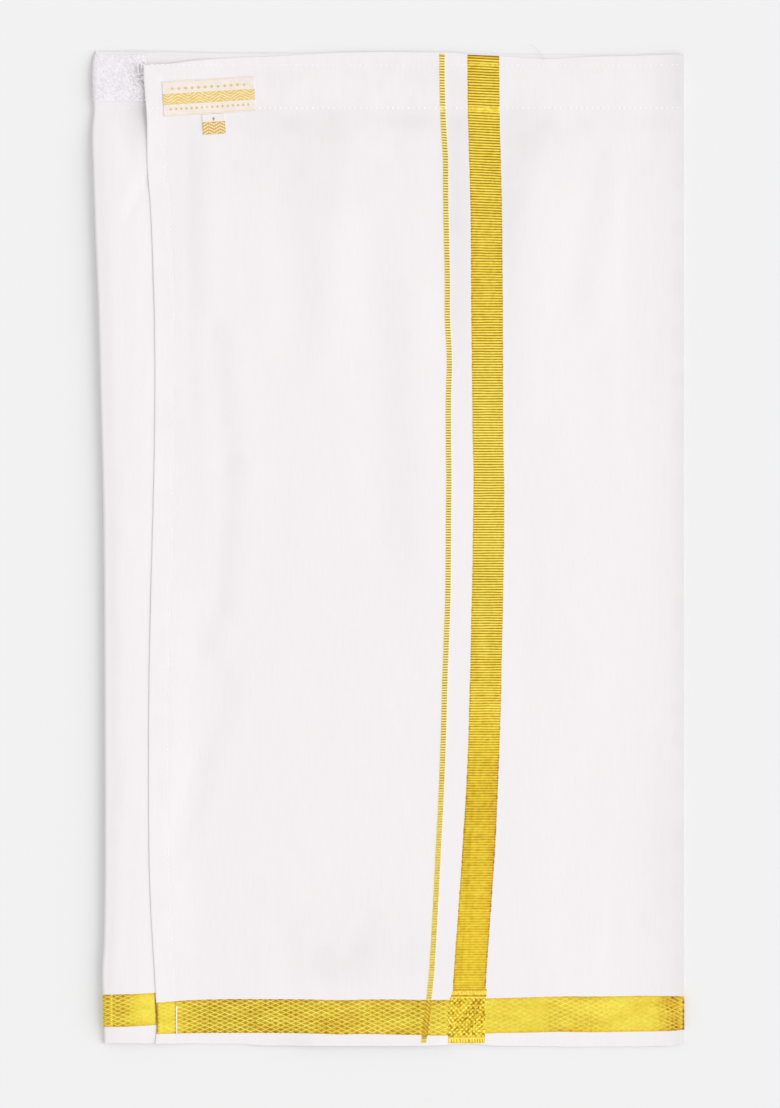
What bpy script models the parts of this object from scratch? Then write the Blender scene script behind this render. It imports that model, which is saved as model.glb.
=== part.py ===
"""A child's ready-made cotton dhoti with zari borders, folded flat as it is wrapped.

Units are metres, with +Z up. The cloth lies on z = 0, its length runs along Y with
the waist at +Y, and the origin is on the floor under the middle of its outline.

Three layers lie on each other: the back panel, the inner front flap, which turns
over it at the left fold, and the outer front flap, which comes round the right fold
and ends in a free hemmed edge. The outer flap is a wall of its own. The two layers
below it share one rounded solid that shows them apart along its edges.
"""
import math
from collections import namedtuple

import bmesh
import bpy

MM = 0.001

# ---------------------------------------------------------------- driving dimensions, mm
RIGHT_FOLD = 178.2         # the right fold, from the middle of the outline
CLOTH = 1.0                # wall of one layer of cloth
HEM_EXTRA = 0.6            # what a turned hem adds to that wall
SEAM_GAP = 0.3             # between pieces that touch
EDGE_ROUND = 0.4           # rounding of a free edge, as a share of the wall

HEM_TOP = 267.5            # the waist hem is full above this line
HEM_FOOT = 263.5           # and has run out below this one
SIDE_HEM = 10.0            # the free edge's side hem is full to here
SIDE_HEM_FOOT = 12.5       # and has run out here
HEM_LOWEST_ROW = -272.0    # rows below this line follow the bottom edge

STACK = 2.1                # the two hidden layers together
STACK_END = 165.5          # where they stop, short of the right fold
LAYER_STEP = 0.8           # how far the upper of the two stands back at each end
GROOVE_DEPTH = 4.0         # the groove between them, from the edge
GROOVE = 0.1               # its height
NOSE_TOP = 5.0             # length of the left fold's rounding, above
NOSE_FOOT = 2.5            # and below, where it meets the floor
NOSE_TIP = 0.16            # height of the fold's tip, as a share of the stack

SHOULDER = 12.0            # the outer flap starts to fall here, before the right fold
SHOULDER_DROP = 0.8        # and has fallen this far at the fold's bend
FOLD_BEND = 3.2            # width of the bend itself

REST_LIFT = 0.8            # how far the outer flap floats on its soft folds
EASE_FREE_EDGE = 30.0      # within these distances of its edges it comes down
EASE_RIGHT_FOLD = 35.0
EASE_WAIST = 60.0
EASE_BOTTOM = 25.0

TAPE_LOW, TAPE_HIGH = 268.5, 296.5      # the loop tape, along the waist hem
TAPE = 1.2                              # its backing and pile
TAPE_CLEAR = 0.7                        # from the outer flap's free edge

LABEL_X, LABEL_Y = -107.0, 271.2        # middle of the woven label
LABEL_WIDTH, LABEL_HEIGHT = 55.3, 21.0
LABEL_TILT = math.radians(3.7)          # its right end is the higher
TAB_WIDTH, TAB_HEIGHT = 13.8, 12.2
TAB_SHIFT = 1.8                         # the tab's middle, to the right of the label's
TRIM = 1.0                              # wall of the label and of the tab

# ---------------------------------------------------------------- outlines and folds, mm
Edge = namedtuple("Edge", "along across")

# The left fold of the two hidden layers: x at each y.
LEFT_FOLD = [
    Edge(-297.6, -169.8), Edge(-271.0, -170.4), Edge(-253.0, -170.9),
    Edge(-235.0, -169.8), Edge(-181.0, -169.2), Edge(-31.0, -169.8),
    Edge(26.0, -170.4), Edge(89.0, -172.2), Edge(152.0, -174.0),
    Edge(197.0, -175.8), Edge(233.0, -177.0), Edge(250.0, -177.4),
    Edge(262.0, -176.4), Edge(270.0, -176.5), Edge(290.0, -176.7),
    Edge(299.2, -175.2),
]

# The free edge of the outer flap: x at each y.
FREE_EDGE = [
    Edge(-297.6, -140.0), Edge(-289.0, -138.4), Edge(-271.0, -139.6),
    Edge(-235.0, -141.4), Edge(-199.0, -143.4), Edge(-136.0, -144.1),
    Edge(-73.0, -143.3), Edge(-19.0, -142.2), Edge(53.0, -140.2),
    Edge(116.0, -140.3), Edge(179.0, -141.6), Edge(215.0, -144.0),
    Edge(251.0, -146.1), Edge(270.0, -144.4), Edge(280.0, -147.2),
    Edge(290.4, -146.1),
]

# The outer flap's waist edge: y at each x.
WAIST_EDGE = [
    Edge(-147.0, 290.1), Edge(-130.0, 291.0), Edge(-112.0, 293.4),
    Edge(-64.0, 296.1), Edge(-28.0, 297.9), Edge(26.0, 298.1),
    Edge(55.0, 296.7), Edge(94.0, 294.0), Edge(115.0, 295.2),
    Edge(178.2, 296.7),
]

# The outer flap's bottom edge, a selvedge: y at each x.
BOTTOM_EDGE = [
    Edge(-147.0, -297.3), Edge(-100.0, -297.3), Edge(-70.0, -298.2),
    Edge(17.0, -298.2), Edge(50.0, -297.6), Edge(75.0, -299.0),
    Edge(120.0, -299.2), Edge(160.0, -299.0), Edge(171.0, -298.4),
    Edge(178.2, -296.4),
]
UNDER_WAIST = 299.2        # waist edge of the hidden layers
UNDER_BOTTOM = -297.6      # and their bottom edge

# The outer flap's largest soft folds: a line from (x0, y0) to (x1, y1), how wide the
# fold is to each side, and how far it raises the cloth, or lowers it where negative.
Fold = namedtuple("Fold", "x0 y0 x1 y1 half_width height")
FOLDS = [
    Fold(-82.0, 222.0, -44.0, 115.0, 17.0, -0.60),
    Fold(7.5, 258.0, 7.5, 3.0, 16.0, -0.75),
    Fold(-100.0, 136.0, -88.0, 55.0, 11.0, -0.50),
    Fold(-88.0, 55.0, -108.0, -50.0, 11.0, -0.50),
    Fold(-84.0, -84.0, -120.0, -185.0, 11.0, -0.50),
    Fold(84.0, 246.0, 84.0, 72.0, 12.0, -0.55),
    Fold(127.0, 230.0, 115.0, 149.0, 12.0, -0.45),
    Fold(-27.0, -238.0, 20.0, -252.0, 22.0, -0.65),
    Fold(-61.0, 136.0, -18.0, -14.0, 20.0, 0.50),
    Fold(-108.0, 89.0, -108.0, 20.0, 10.0, 0.20),
    Fold(123.0, 72.0, 119.0, -27.0, 20.0, 0.40),
    Fold(127.0, -99.0, 127.0, -228.0, 26.0, 0.45),
    Fold(-75.0, -299.0, 95.0, -299.0, 9.0, 0.60),
]

# ---------------------------------------------------------------- stations, mm
HEM_SHARES = [1.0, 0.88, 0.6, 0.3]                 # rows of the waist hem
HEM_FALL = [267.5, 266.2, 264.8, 263.5, 257.5]     # rows where the waist hem runs out
BODY_ROWS = 29
BOTTOM_SHARES = [0.3, 0.6, 0.86, 1.0]              # rows down to the bottom edge
SIDE_STATIONS = [0.0, 3.5, 8.0, 10.0, 12.5, 17.0]  # columns of the side hem
BODY_COLUMNS = 24
SHOULDER_SHARES = [0.35, 0.65, 1.0]                # columns down the shoulder
BEND_ANGLES = [68, 44, 18, -10, -40, -68, -90]     # columns round the right fold
NOSE_STATIONS = [0.0, 0.35, 1.0, 2.0, 3.4, 5.0]    # sections round the left fold
STACK_SECTIONS = 8                                 # and from there to its right end
STACK_WAIST_ROWS = [290.0, 279.0]                  # rows of its own, above the hem
STACK_BOTTOM_ROWS = [-283.0, -292.0]               # and at the bottom
TAPE_ANGLES = [0, 22, 45, 68, 90]                  # columns of the tape round the fold
TAPE_COLUMNS, TAPE_ROWS = 5, 7                     # and along the hem
LABEL_COLUMNS, LABEL_ROWS = 10, 12
TAB_COLUMNS, TAB_ROWS = 4, 5

# ---------------------------------------------------------------- colours
COTTON = (0.88, 0.87, 0.88)
COTTON_BELOW = (0.86, 0.85, 0.87)
PILE = (0.86, 0.85, 0.89)
LABEL_GROUND = (0.85, 0.80, 0.70)
TAB_GOLD = (0.83, 0.68, 0.38)
COTTON_ROUGHNESS, PILE_ROUGHNESS, SATIN_ROUGHNESS = 0.85, 0.95, 0.7
SHARP_ANGLE = math.radians(40)


# ---------------------------------------------------------------- plain functions
def smoothstep(low, high, value):
    """0 up to low, 1 from high on, and a smooth rise between them."""
    share = min(max((value - low) / (high - low), 0.0), 1.0)
    return share * share * (3.0 - 2.0 * share)


def mix(start, end, share):
    return start + (end - start) * share


def slope(table, k):
    """Slope of an edge at its k-th station."""
    before, after = table[max(k - 1, 0)], table[min(k + 1, len(table) - 1)]
    return (after.across - before.across) / (after.along - before.along)


def edge_at(table, along):
    """An edge's position between its stations, on a smooth curve through them."""
    along = min(max(along, table[0].along), table[-1].along)
    k = 0
    while along > table[k + 1].along:
        k += 1
    low, high = table[k], table[k + 1]
    span = high.along - low.along
    t = (along - low.along) / span
    rise = t * t * (3.0 - 2.0 * t)
    leave = t * (1.0 - t) ** 2 * span * slope(table, k)
    arrive = -t * t * (1.0 - t) * span * slope(table, k + 1)
    return mix(low.across, high.across, rise) + leave + arrive


def waist_hem(y):
    """1 on the waist hem, 0 on the panel below it."""
    return smoothstep(HEM_FOOT, HEM_TOP, y)


def stack_top(y):
    """Top of the two hidden layers, each with its own waist hem."""
    return STACK + 2.0 * HEM_EXTRA * waist_hem(y)


def flap_wall(x, y):
    """Wall of the outer flap: its cloth, and its waist or side hem."""
    from_edge = x - edge_at(FREE_EDGE, y)
    side_hem = 1.0 - smoothstep(SIDE_HEM, SIDE_HEM_FOOT, from_edge)
    return CLOTH + HEM_EXTRA * max(waist_hem(y), side_hem)


def fold_share(fold, x, y):
    """1 on a soft fold's line, falling off smoothly to its sides and past its ends."""
    run_x, run_y = fold.x1 - fold.x0, fold.y1 - fold.y0
    share = ((x - fold.x0) * run_x + (y - fold.y0) * run_y) / (run_x ** 2 + run_y ** 2)
    share = min(max(share, 0.0), 1.0)
    away = math.hypot(x - fold.x0 - share * run_x, y - fold.y0 - share * run_y)
    return math.exp(-(away / fold.half_width) ** 2)


def flap_lift(x, y):
    """How far the outer flap's soft folds hold it off the layers below."""
    inside = smoothstep(0.0, EASE_FREE_EDGE, x - edge_at(FREE_EDGE, y))
    inside *= smoothstep(FOLD_BEND, EASE_RIGHT_FOLD, RIGHT_FOLD - x)
    inside *= smoothstep(0.0, EASE_WAIST, HEM_TOP - y)
    inside *= smoothstep(0.0, EASE_BOTTOM, y - UNDER_BOTTOM)
    height = REST_LIFT * inside
    height += sum(fold.height * fold_share(fold, x, y) for fold in FOLDS)
    return max(height, 0.0)


def flap_under(x, y):
    return stack_top(y) + SEAM_GAP + flap_lift(x, y)


def flap_over(x, y):
    """Outer face of the outer flap, on its panel and down its shoulder."""
    drop = SHOULDER_DROP * smoothstep(RIGHT_FOLD - SHOULDER, RIGHT_FOLD - FOLD_BEND, x)
    return flap_under(x, y) + flap_wall(x, y) - drop


# ---------------------------------------------------------------- building
def add_object(name, bm, color, roughness):
    """Turn a closed bmesh into a named object with its own material."""
    bmesh.ops.recalc_face_normals(bm, faces=bm.faces)
    mesh = bpy.data.meshes.new(name)
    bm.to_mesh(mesh)
    bm.free()
    mesh.shade_smooth()
    mesh.set_sharp_from_angle(angle=SHARP_ANGLE)
    material = bpy.data.materials.new(name)
    material.use_nodes = True
    shader = material.node_tree.nodes["Principled BSDF"]
    shader.inputs["Base Color"].default_value = (*color, 1.0)
    shader.inputs["Roughness"].default_value = roughness
    shader.inputs["Metallic"].default_value = 0.0
    mesh.materials.append(material)
    part = bpy.data.objects.new(name, mesh)
    bpy.context.collection.objects.link(part)
    return part


def add_points(bm, points):
    return [bm.verts.new((x * MM, y * MM, z * MM)) for x, y, z in points]


def bridge(bm, line, next_line):
    """Quads between two open lines of vertices."""
    for k in range(len(line) - 1):
        bm.faces.new((line[k], line[k + 1], next_line[k + 1], next_line[k]))


def border(rows, columns):
    """The places round a grid, once round, each with its outward steps in x and y."""
    last_row, last_column = rows - 1, columns - 1
    ring = [(0, c) for c in range(last_column)]
    ring += [(r, last_column) for r in range(last_row)]
    ring += [(last_row, c) for c in range(last_column, 0, -1)]
    ring += [(r, 0) for r in range(last_row, 0, -1)]
    places = []
    for r, c in ring:
        out_x = (c == last_column) - (c == 0)
        out_y = (r == 0) - (r == last_row)
        places.append((r, c, out_x, out_y))
    return places


def wall(name, over, under, bulge, color, roughness, turned_end=False):
    """A wall between two grids of points, its edges rounded out by a bulge.

    Row 0 is the waist side and column 0 the left side. With turned_end the last
    column lies under the part, so its end is cut square.
    """
    bm = bmesh.new()
    top = [add_points(bm, row) for row in over]
    bottom = [add_points(bm, row) for row in under]
    for k in range(len(top) - 1):
        bridge(bm, top[k], top[k + 1])
        bridge(bm, bottom[k + 1], bottom[k])
    middle = []
    for row, column, out_x, out_y in border(len(over), len(over[0])):
        high, low = over[row][column], under[row][column]
        reach_x = 0.0 if turned_end and out_x > 0 else out_x * bulge
        point = ((high[0] + low[0]) / 2 + reach_x,
                 (high[1] + low[1]) / 2 + out_y * bulge,
                 (high[2] + low[2]) / 2)
        middle.append((row, column, add_points(bm, [point])[0]))
    for (r0, c0, mid0), (r1, c1, mid1) in zip(middle, middle[1:] + middle[:1]):
        bm.faces.new((top[r0][c0], top[r1][c1], mid1, mid0))
        bm.faces.new((mid0, mid1, bottom[r1][c1], bottom[r0][c0]))
    return add_object(name, bm, color, roughness)


# ---------------------------------------------------------------- outer flap
def body_stations():
    """Rows that the hidden layers and the outer flap share, from the hem down."""
    foot = HEM_FALL[-1]
    step = (foot - HEM_LOWEST_ROW) / BODY_ROWS
    return HEM_FALL + [foot - step * k for k in range(1, BODY_ROWS + 1)]


def flap_rows():
    """Each row as (anchor y, waist share, bottom share)."""
    rows = [(HEM_TOP, share, 0.0) for share in HEM_SHARES]
    rows += [(y, 0.0, 0.0) for y in body_stations()]
    return rows + [(HEM_LOWEST_ROW, 0.0, share) for share in BOTTOM_SHARES]


def row_y(row, x, inset):
    anchor, waist_share, bottom_share = row
    waist_run = edge_at(WAIST_EDGE, x) - inset - anchor
    bottom_run = edge_at(BOTTOM_EDGE, x) + inset - anchor
    return anchor + waist_share * waist_run + bottom_share * bottom_run


def panel_columns(free_x):
    """x of each column, from the free edge to the start of the shoulder."""
    start = free_x + SIDE_STATIONS[-1]
    end = RIGHT_FOLD - SHOULDER
    columns = [free_x + away for away in SIDE_STATIONS]
    return columns + [mix(start, end, k / BODY_COLUMNS) for k in range(1, BODY_COLUMNS + 1)]


def flap_section(row):
    """One section of the outer flap: its outer and its inner line of points."""
    inset = EDGE_ROUND * (CLOTH + HEM_EXTRA)
    free_x = edge_at(FREE_EDGE, row_y(row, FREE_EDGE[0].across, inset)) + inset
    bend_x = RIGHT_FOLD - FOLD_BEND
    shoulder_x = RIGHT_FOLD - SHOULDER
    columns = panel_columns(free_x)
    columns += [mix(shoulder_x, bend_x, share) for share in SHOULDER_SHARES]
    outer, inner = [], []
    for x in columns:
        y = row_y(row, x, inset)
        over = flap_over(x, y)
        outer.append((x, y, over))
        inner.append((x, y, over - flap_wall(x, y)))
    half = outer[-1][2] / 2.0
    thick = flap_wall(bend_x, outer[-1][1])
    for angle in BEND_ANGLES:
        across, up = math.cos(math.radians(angle)), math.sin(math.radians(angle))
        x = bend_x + FOLD_BEND * across
        y = row_y(row, x, inset)
        outer.append((x, y, half + half * up))
        inner.append((bend_x + (FOLD_BEND - thick) * across, y, half + (half - thick) * up))
    for x in (mix(bend_x, STACK_END + SEAM_GAP, 0.5), STACK_END + SEAM_GAP):
        y = row_y(row, x, inset)
        outer.append((x, y, 0.0))
        inner.append((x, y, thick))
    return outer, inner


def outer_flap():
    """The front flap on top, from its free edge round the right fold to the floor."""
    sections = [flap_section(row) for row in flap_rows()]
    over = [outer for outer, inner in sections]
    under = [inner for outer, inner in sections]
    bulge = EDGE_ROUND * (CLOTH + HEM_EXTRA)
    return wall("outer_flap", over, under, bulge, COTTON, COTTON_ROUGHNESS, turned_end=True)


# ---------------------------------------------------------------- hidden layers
def nose_share(reach, away):
    """Half height of the left fold's rounding at a distance from its tip."""
    if away >= reach:
        return 1.0
    lean = 1.0 - away / reach
    return max(math.sqrt(1.0 - lean * lean), NOSE_TIP)


def stack_ends(height, sign, edge):
    """The layered end of the stack at one edge, as (y, z) from the floor up."""
    inset = EDGE_ROUND * CLOTH
    middle = height / 2.0
    upper = edge - sign * LAYER_STEP
    return [
        (edge - sign * inset, 0.0),
        (edge, (middle - GROOVE / 2.0) / 2.0),
        (edge - sign * inset, middle - GROOVE / 2.0),
        (edge - sign * GROOVE_DEPTH, middle),
        (upper - sign * inset, middle + GROOVE / 2.0),
        (upper, (height + middle + GROOVE / 2.0) / 2.0),
        (upper - sign * inset, height),
    ]


def stack_outline():
    """The stack's section in y and z, once round, from the waist end's foot."""
    inner_rows = STACK_WAIST_ROWS + body_stations() + STACK_BOTTOM_ROWS
    waist = stack_ends(stack_top(UNDER_WAIST), 1, UNDER_WAIST)
    bottom = stack_ends(stack_top(UNDER_BOTTOM), -1, UNDER_BOTTOM)
    over = [(y, stack_top(y)) for y in inner_rows]
    under = [(y, 0.0) for y in reversed(inner_rows)]
    return waist, over, bottom[::-1], under


def stack_point(away, run, y, z):
    """A point of the section at a distance from the left fold, or a share of the run."""
    fold_x = edge_at(LEFT_FOLD, y)
    middle = stack_top(y) / 2.0
    reach = NOSE_TOP if z > middle else NOSE_FOOT
    height = middle + (z - middle) * nose_share(reach, away)
    return mix(fold_x + away, STACK_END, run), y, height


def folded_layers():
    """The back panel and the inner flap, one solid that is layered at its edges."""
    bm = bmesh.new()
    waist, over, bottom, under = stack_outline()
    outline = waist + over + bottom + under
    sections = [(away, 0.0) for away in NOSE_STATIONS]
    sections += [(NOSE_STATIONS[-1], k / STACK_SECTIONS) for k in range(1, STACK_SECTIONS + 1)]
    rings = []
    for away, run in sections:
        rings.append(add_points(bm, [stack_point(away, run, y, z) for y, z in outline]))
    for ring, next_ring in zip(rings, rings[1:]):
        bridge(bm, ring + ring[:1], next_ring + next_ring[:1])
    ends = len(waist)
    rows = len(over)
    for ring in (rings[0], rings[-1]):
        waist_cap = ring[:ends]
        bottom_cap = ring[ends + rows:2 * ends + rows]
        bm.faces.new(waist_cap)
        bm.faces.new(bottom_cap)
        high = [ring[ends - 1]] + ring[ends:ends + rows] + [bottom_cap[0]]
        low = [ring[0]] + ring[:2 * ends + rows - 1:-1] + [bottom_cap[-1]]
        bridge(bm, high, low)
    return add_object("folded_layers", bm, COTTON_BELOW, COTTON_ROUGHNESS)


# ---------------------------------------------------------------- trims
def loop_tape():
    """The pile tape on the inner flap's waist hem, round the left fold."""
    top = stack_top(TAPE_HIGH)
    bulge = EDGE_ROUND * TAPE
    shares = [k / TAPE_ROWS for k in range(TAPE_ROWS + 1)]
    rows = [mix(TAPE_HIGH - bulge, TAPE_LOW + bulge, share) for share in shares]
    middle = top / 2.0
    over, under = [], []
    for y in rows:
        fold_x = edge_at(LEFT_FOLD, y)
        end_x = edge_at(FREE_EDGE, y) - TAPE_CLEAR - bulge
        start_x = fold_x + NOSE_TOP
        for grid, out in ((over, SEAM_GAP + TAPE), (under, SEAM_GAP)):
            line = []
            for angle in TAPE_ANGLES:
                back, up = math.cos(math.radians(angle)), math.sin(math.radians(angle))
                line.append((start_x - (NOSE_TOP + out) * back, y, middle + (middle + out) * up))
            for k in range(1, TAPE_COLUMNS + 1):
                line.append((mix(start_x, end_x, k / TAPE_COLUMNS), y, top + out))
            grid.append(line)
    return wall("loop_tape", over, under, bulge, PILE, PILE_ROUGHNESS)


def label_point(along, across, out):
    """A point of the label's own plane, laid on the outer flap and moved out."""
    x = LABEL_X + along * math.cos(LABEL_TILT) - across * math.sin(LABEL_TILT)
    y = LABEL_Y + along * math.sin(LABEL_TILT) + across * math.cos(LABEL_TILT)
    return x, y, flap_over(x, y) + out


def trim(name, left, right, high, low, columns, rows, color):
    """A small woven piece on the outer flap, between sizes in the label's plane."""
    bulge = EDGE_ROUND * TRIM
    over, under = [], []
    for r in range(rows + 1):
        across = mix(high - bulge, low + bulge, r / rows)
        along = [mix(left + bulge, right - bulge, c / columns) for c in range(columns + 1)]
        over.append([label_point(u, across, SEAM_GAP + TRIM) for u in along])
        under.append([label_point(u, across, SEAM_GAP) for u in along])
    return wall(name, over, under, bulge, color, SATIN_ROUGHNESS)


def woven_label():
    half_width, half_height = LABEL_WIDTH / 2.0, LABEL_HEIGHT / 2.0
    return trim("woven_label", -half_width, half_width, half_height, -half_height,
                LABEL_COLUMNS, LABEL_ROWS, LABEL_GROUND)


def size_tab():
    high = -LABEL_HEIGHT / 2.0 - SEAM_GAP
    left = TAB_SHIFT - TAB_WIDTH / 2.0
    return trim("size_tab", left, left + TAB_WIDTH, high, high - TAB_HEIGHT,
                TAB_COLUMNS, TAB_ROWS, TAB_GOLD)


def main():
    for thing in list(bpy.data.objects):
        bpy.data.objects.remove(thing, do_unlink=True)
    folded_layers()
    outer_flap()
    loop_tape()
    woven_label()
    size_tab()


main()
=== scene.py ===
"""Looks of a child's ready-made cotton dhoti with zari borders, folded flat.

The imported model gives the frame. Sizes here are millimetres, turned into metres when
a mesh is made: +Z is up, the waist is at +Y and the cloth lies on z = 0.
"""
import math

import bmesh
import bpy
import numpy as np
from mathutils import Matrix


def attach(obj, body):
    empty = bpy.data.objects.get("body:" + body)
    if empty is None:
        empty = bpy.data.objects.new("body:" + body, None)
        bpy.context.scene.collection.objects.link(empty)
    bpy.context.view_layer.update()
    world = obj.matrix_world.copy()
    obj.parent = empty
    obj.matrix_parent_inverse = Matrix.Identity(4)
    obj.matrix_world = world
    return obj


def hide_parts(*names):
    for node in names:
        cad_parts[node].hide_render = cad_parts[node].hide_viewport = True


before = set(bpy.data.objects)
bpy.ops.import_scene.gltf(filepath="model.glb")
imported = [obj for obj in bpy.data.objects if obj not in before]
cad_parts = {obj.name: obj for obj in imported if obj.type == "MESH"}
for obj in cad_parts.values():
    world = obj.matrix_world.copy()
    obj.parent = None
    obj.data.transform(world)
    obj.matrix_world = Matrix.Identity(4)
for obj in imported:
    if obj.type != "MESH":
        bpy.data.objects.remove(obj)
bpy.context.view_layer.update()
MM = 0.001
TURN = 2.0 * math.pi
TINY = 1e-9
SHARP_ANGLE = 60.0             # degrees; a sharper edge isn't smoothed
NOISE_GRID = 257
NOISE_FROM = (97.3, 113.7)     # where in its grid noise starts

# ---- the view, mm
VIEW_MIDDLE = (1.5, -3.3)      # what lies under the camera
VIEW_LENGTH = 664.8            # of cloth and floor along Y that fill the frame
CAMERA_HEIGHT = 2200.0
SENSOR = 36.0
SUN_ENERGY, SUN_SPREAD = 1.85, 55.0                # its spread and turn in degrees
SUN_TURN = (60.0, 0.0, 86.0)
SKY_STRENGTH = 0.79
FLOOR, FLOOR_BELOW = 6.0, 0.0001                   # metres: half its width, and its depth

# ---- cloth, mm
RIGHT_FOLD = 178.2
FLAP_WALL = 0.37               # one layer of the outer flap
FLAP_HEM, FLAP_SIDE_HEM = 0.42, 0.18               # what its turned hems add
LAYER_WALL = 0.85              # one layer of the panels below, doubled by their hem
LAYER_HEM = 0.35
STACK = 2.1                    # the two panels below, together
LAYER_GAP = 0.06               # air between the outer flap and them
EDGE_ROUND = 0.5               # rounding of a free edge, as a share of the wall
STACK_END = 165.5

HEM_TOP, HEM_FOOT = 267.5, 263.5
HEM_DRAPE = 236.0              # the outer flap is down off the hems at this line
HEM_LINE = 264.3               # the waist hem's stitches
EDGE_LINE = 290.2              # and a finer row nearer the waist edge
SIDE_HEM, SIDE_HEM_FOOT = 9.5, 13.0
SIDE_LINE = 11.3               # the side hem's stitches, from the free edge
HEM_LOWEST_ROW = -272.0
UNDER_WAIST, UNDER_BOTTOM = 299.2, -297.6
LAYER_STEP = 0.8               # between the two lower layers' edges
UNDER_WAVER, UNDER_WAVER_FROM = 0.30, (275.0, -285.0)        # of those edges
THINNEST = 0.2                 # of the lower layers' wall, at its rounded edges
STRIP_FROM = -126.0            # the inner flap's strip is drawn finely from here on
STRIP_RELIEF = (2.0, 9.0)      # its relief starts this far from the fold
STRIP_HIDES = (-136.0, -128.0)
SEAM_REACH, SEAM_DIP = 1.1, 0.07                   # the waist hem's stitches
SIDE_SEAM_REACH, SIDE_SEAM_DIP = 0.9, 0.05
WAIST_PULL_REACH, SIDE_PULL_REACH = 7.0, 5.0
PRESS_HIGH, PRESS_LOW = 280.0, -274.0
# How an edge is rounded down: how far in from it, and by how much.
WAIST_ROUND, BOTTOM_ROUND = (1.7, 1.0), (0.9, 0.35)
FLAP_SIDE_ROUND, FLAP_BOTTOM_ROUND = (1.4, 0.24), (0.8, 0.24)
FLAP_WAIST_REACH, FLAP_WAIST_DROP = (1.2, 2.6), 0.42
FLAP_WAIST_WIDENS = (70.0, 110.0)

NOSE_TOP, NOSE_FOOT = 2.1, 2.1
FOLD_PUFF, PUFF_TIP = 3.2, 0.86                    # how high the left fold stands up
PUFF_RISE, PUFF_END = 9.0, 60.0
# It is flatter near its ends: by a share, from one y to another.
PUFF_FLATTER = [(0.82, 226.0, 276.0), (0.12, 284.0, UNDER_WAIST), (0.5, -284.0, UNDER_BOTTOM)]
NOSE_ANGLES = np.radians([[15, 30, 45, 60, 75, 90]])
FOOT_ANGLES = np.radians([[25, 50, 70, 90]])
# The right fold stands up a little, and more towards its two ends.
FOLD_ROLL, FOLD_ROLL_REACH = 0.38, (20.0, 1.0)
END_ROLL, END_ROLL_REACH = 0.36, (32.0, 1.0)
END_ROLL_HIGH, END_ROLL_LOW = (60.0, 120.0), (-100.0, -150.0)
FOLD_BEND = 0.5
FOLD_TURN = 4.2                # cloth from the top round the right fold's bend
BEND_POWER = 0.4               # under 1, a squarer bend
FOLD_UNDERCUT = 3.0            # how far the bend's foot stands back from its top
TURNED_END = 165.8             # the outer flap ends here, under the part

# How far the outer flap is held up, and how that eases in from its edges.
REST_LIFT = 1.1
EASE_FROM = -4.0
EASE_FREE_EDGE, EASE_FREE_EDGE_LOW = 42.0, 84.0    # high up, and from the middle down
EASE_RIGHT_FOLD = (22.0, 88.0)
EASE_WAIST = 60.0
TAPE_LIFT, TAPE_DRAPE = 1.2, (248.0, 266.0)        # the flap's corner lies on the tape
EASE_BOTTOM = 25.0
EASE_CHANGES = (-30.0, 70.0)
TAPE_EASE = (-86.0, -140.0)
SUNK_SHARE = 0.12              # how much of a fold's depth is left where it would sink
# Rough surfaces and wavering edges: (height, step along x, step along y, seed).
FLAP_WAVES = [(0.085, 21.0, 46.0, 1), (0.034, 9.0, 19.0, 2), (0.014, 4.2, 6.0, 3)]
HEM_PUCKERS = [(0.0825, 6.5, 11.0, 6), (0.039, 2.8, 3.6, 7)]
WAIST_PULL, SIDE_PULL = [(0.09, 7.5, 30.0, 4)], [(0.07, 30.0, 7.5, 5)]
STRIP_CRUMPLE = [(0.05, 9.0, 24.0, 11), (0.02, 4.0, 9.0, 12)]
EDGE_WAVER = [(0.35, 17.0, 1.0, 31), (0.12, 5.0, 1.0, 32)]
WAIST_WAVERS, BOTTOM_WAVERS = (284.0, 296.0), (-288.0, -297.0)
FREE_EDGE_WAVER = [(0.12, 1.0, 6.0, 21)]

TAPE_LOW, TAPE_HIGH = 268.5, 296.5
TAPE_BACKING = 0.5
TAPE_CLEAR = -1.2              # from the free edge; it goes on a little under the flap
TAPE_GAP = 0.05                # between it and the strip
TAPE_TURN = 1.25               # its length round the left fold's tip, over the tip's radius
PILE_LOOPS, PILE_LEAN = 4600, 0.8
LOOP_SIZE = (0.46, 0.17, 0.10)                     # half width, height, yarn's radius
LABEL_X, LABEL_Y = -107.0, 271.2
LABEL_WIDTH, LABEL_HEIGHT = 55.3, 21.0
LABEL_TILT = math.radians(3.7)
TAB_WIDTH, TAB_HEIGHT = 13.8, 12.2
TAB_SHIFT = 1.8
LABEL_THICK, LABEL_FOOT = 0.35, 0.03
LABEL_BAND, LABEL_BAND_HALF = -0.4, (3.4, 3.0)     # the gold band's middle and half height
UPPER_MARKS, LOWER_MARKS = 5.7, -6.4               # the rows of lozenges, up from the middle
WAIST_STITCH = 3.2             # from one stitch to the next along the waist hem
HEM_THREAD_X = -126.6          # the side hem's bare thread, on the border
FRAYED_ENDS = 30
LOOSE_TIP, LOOSE_SAG = (85.5, 303.0, 1.6), (0.6, 0.5, 0.4)   # the loose end at the waist

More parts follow.
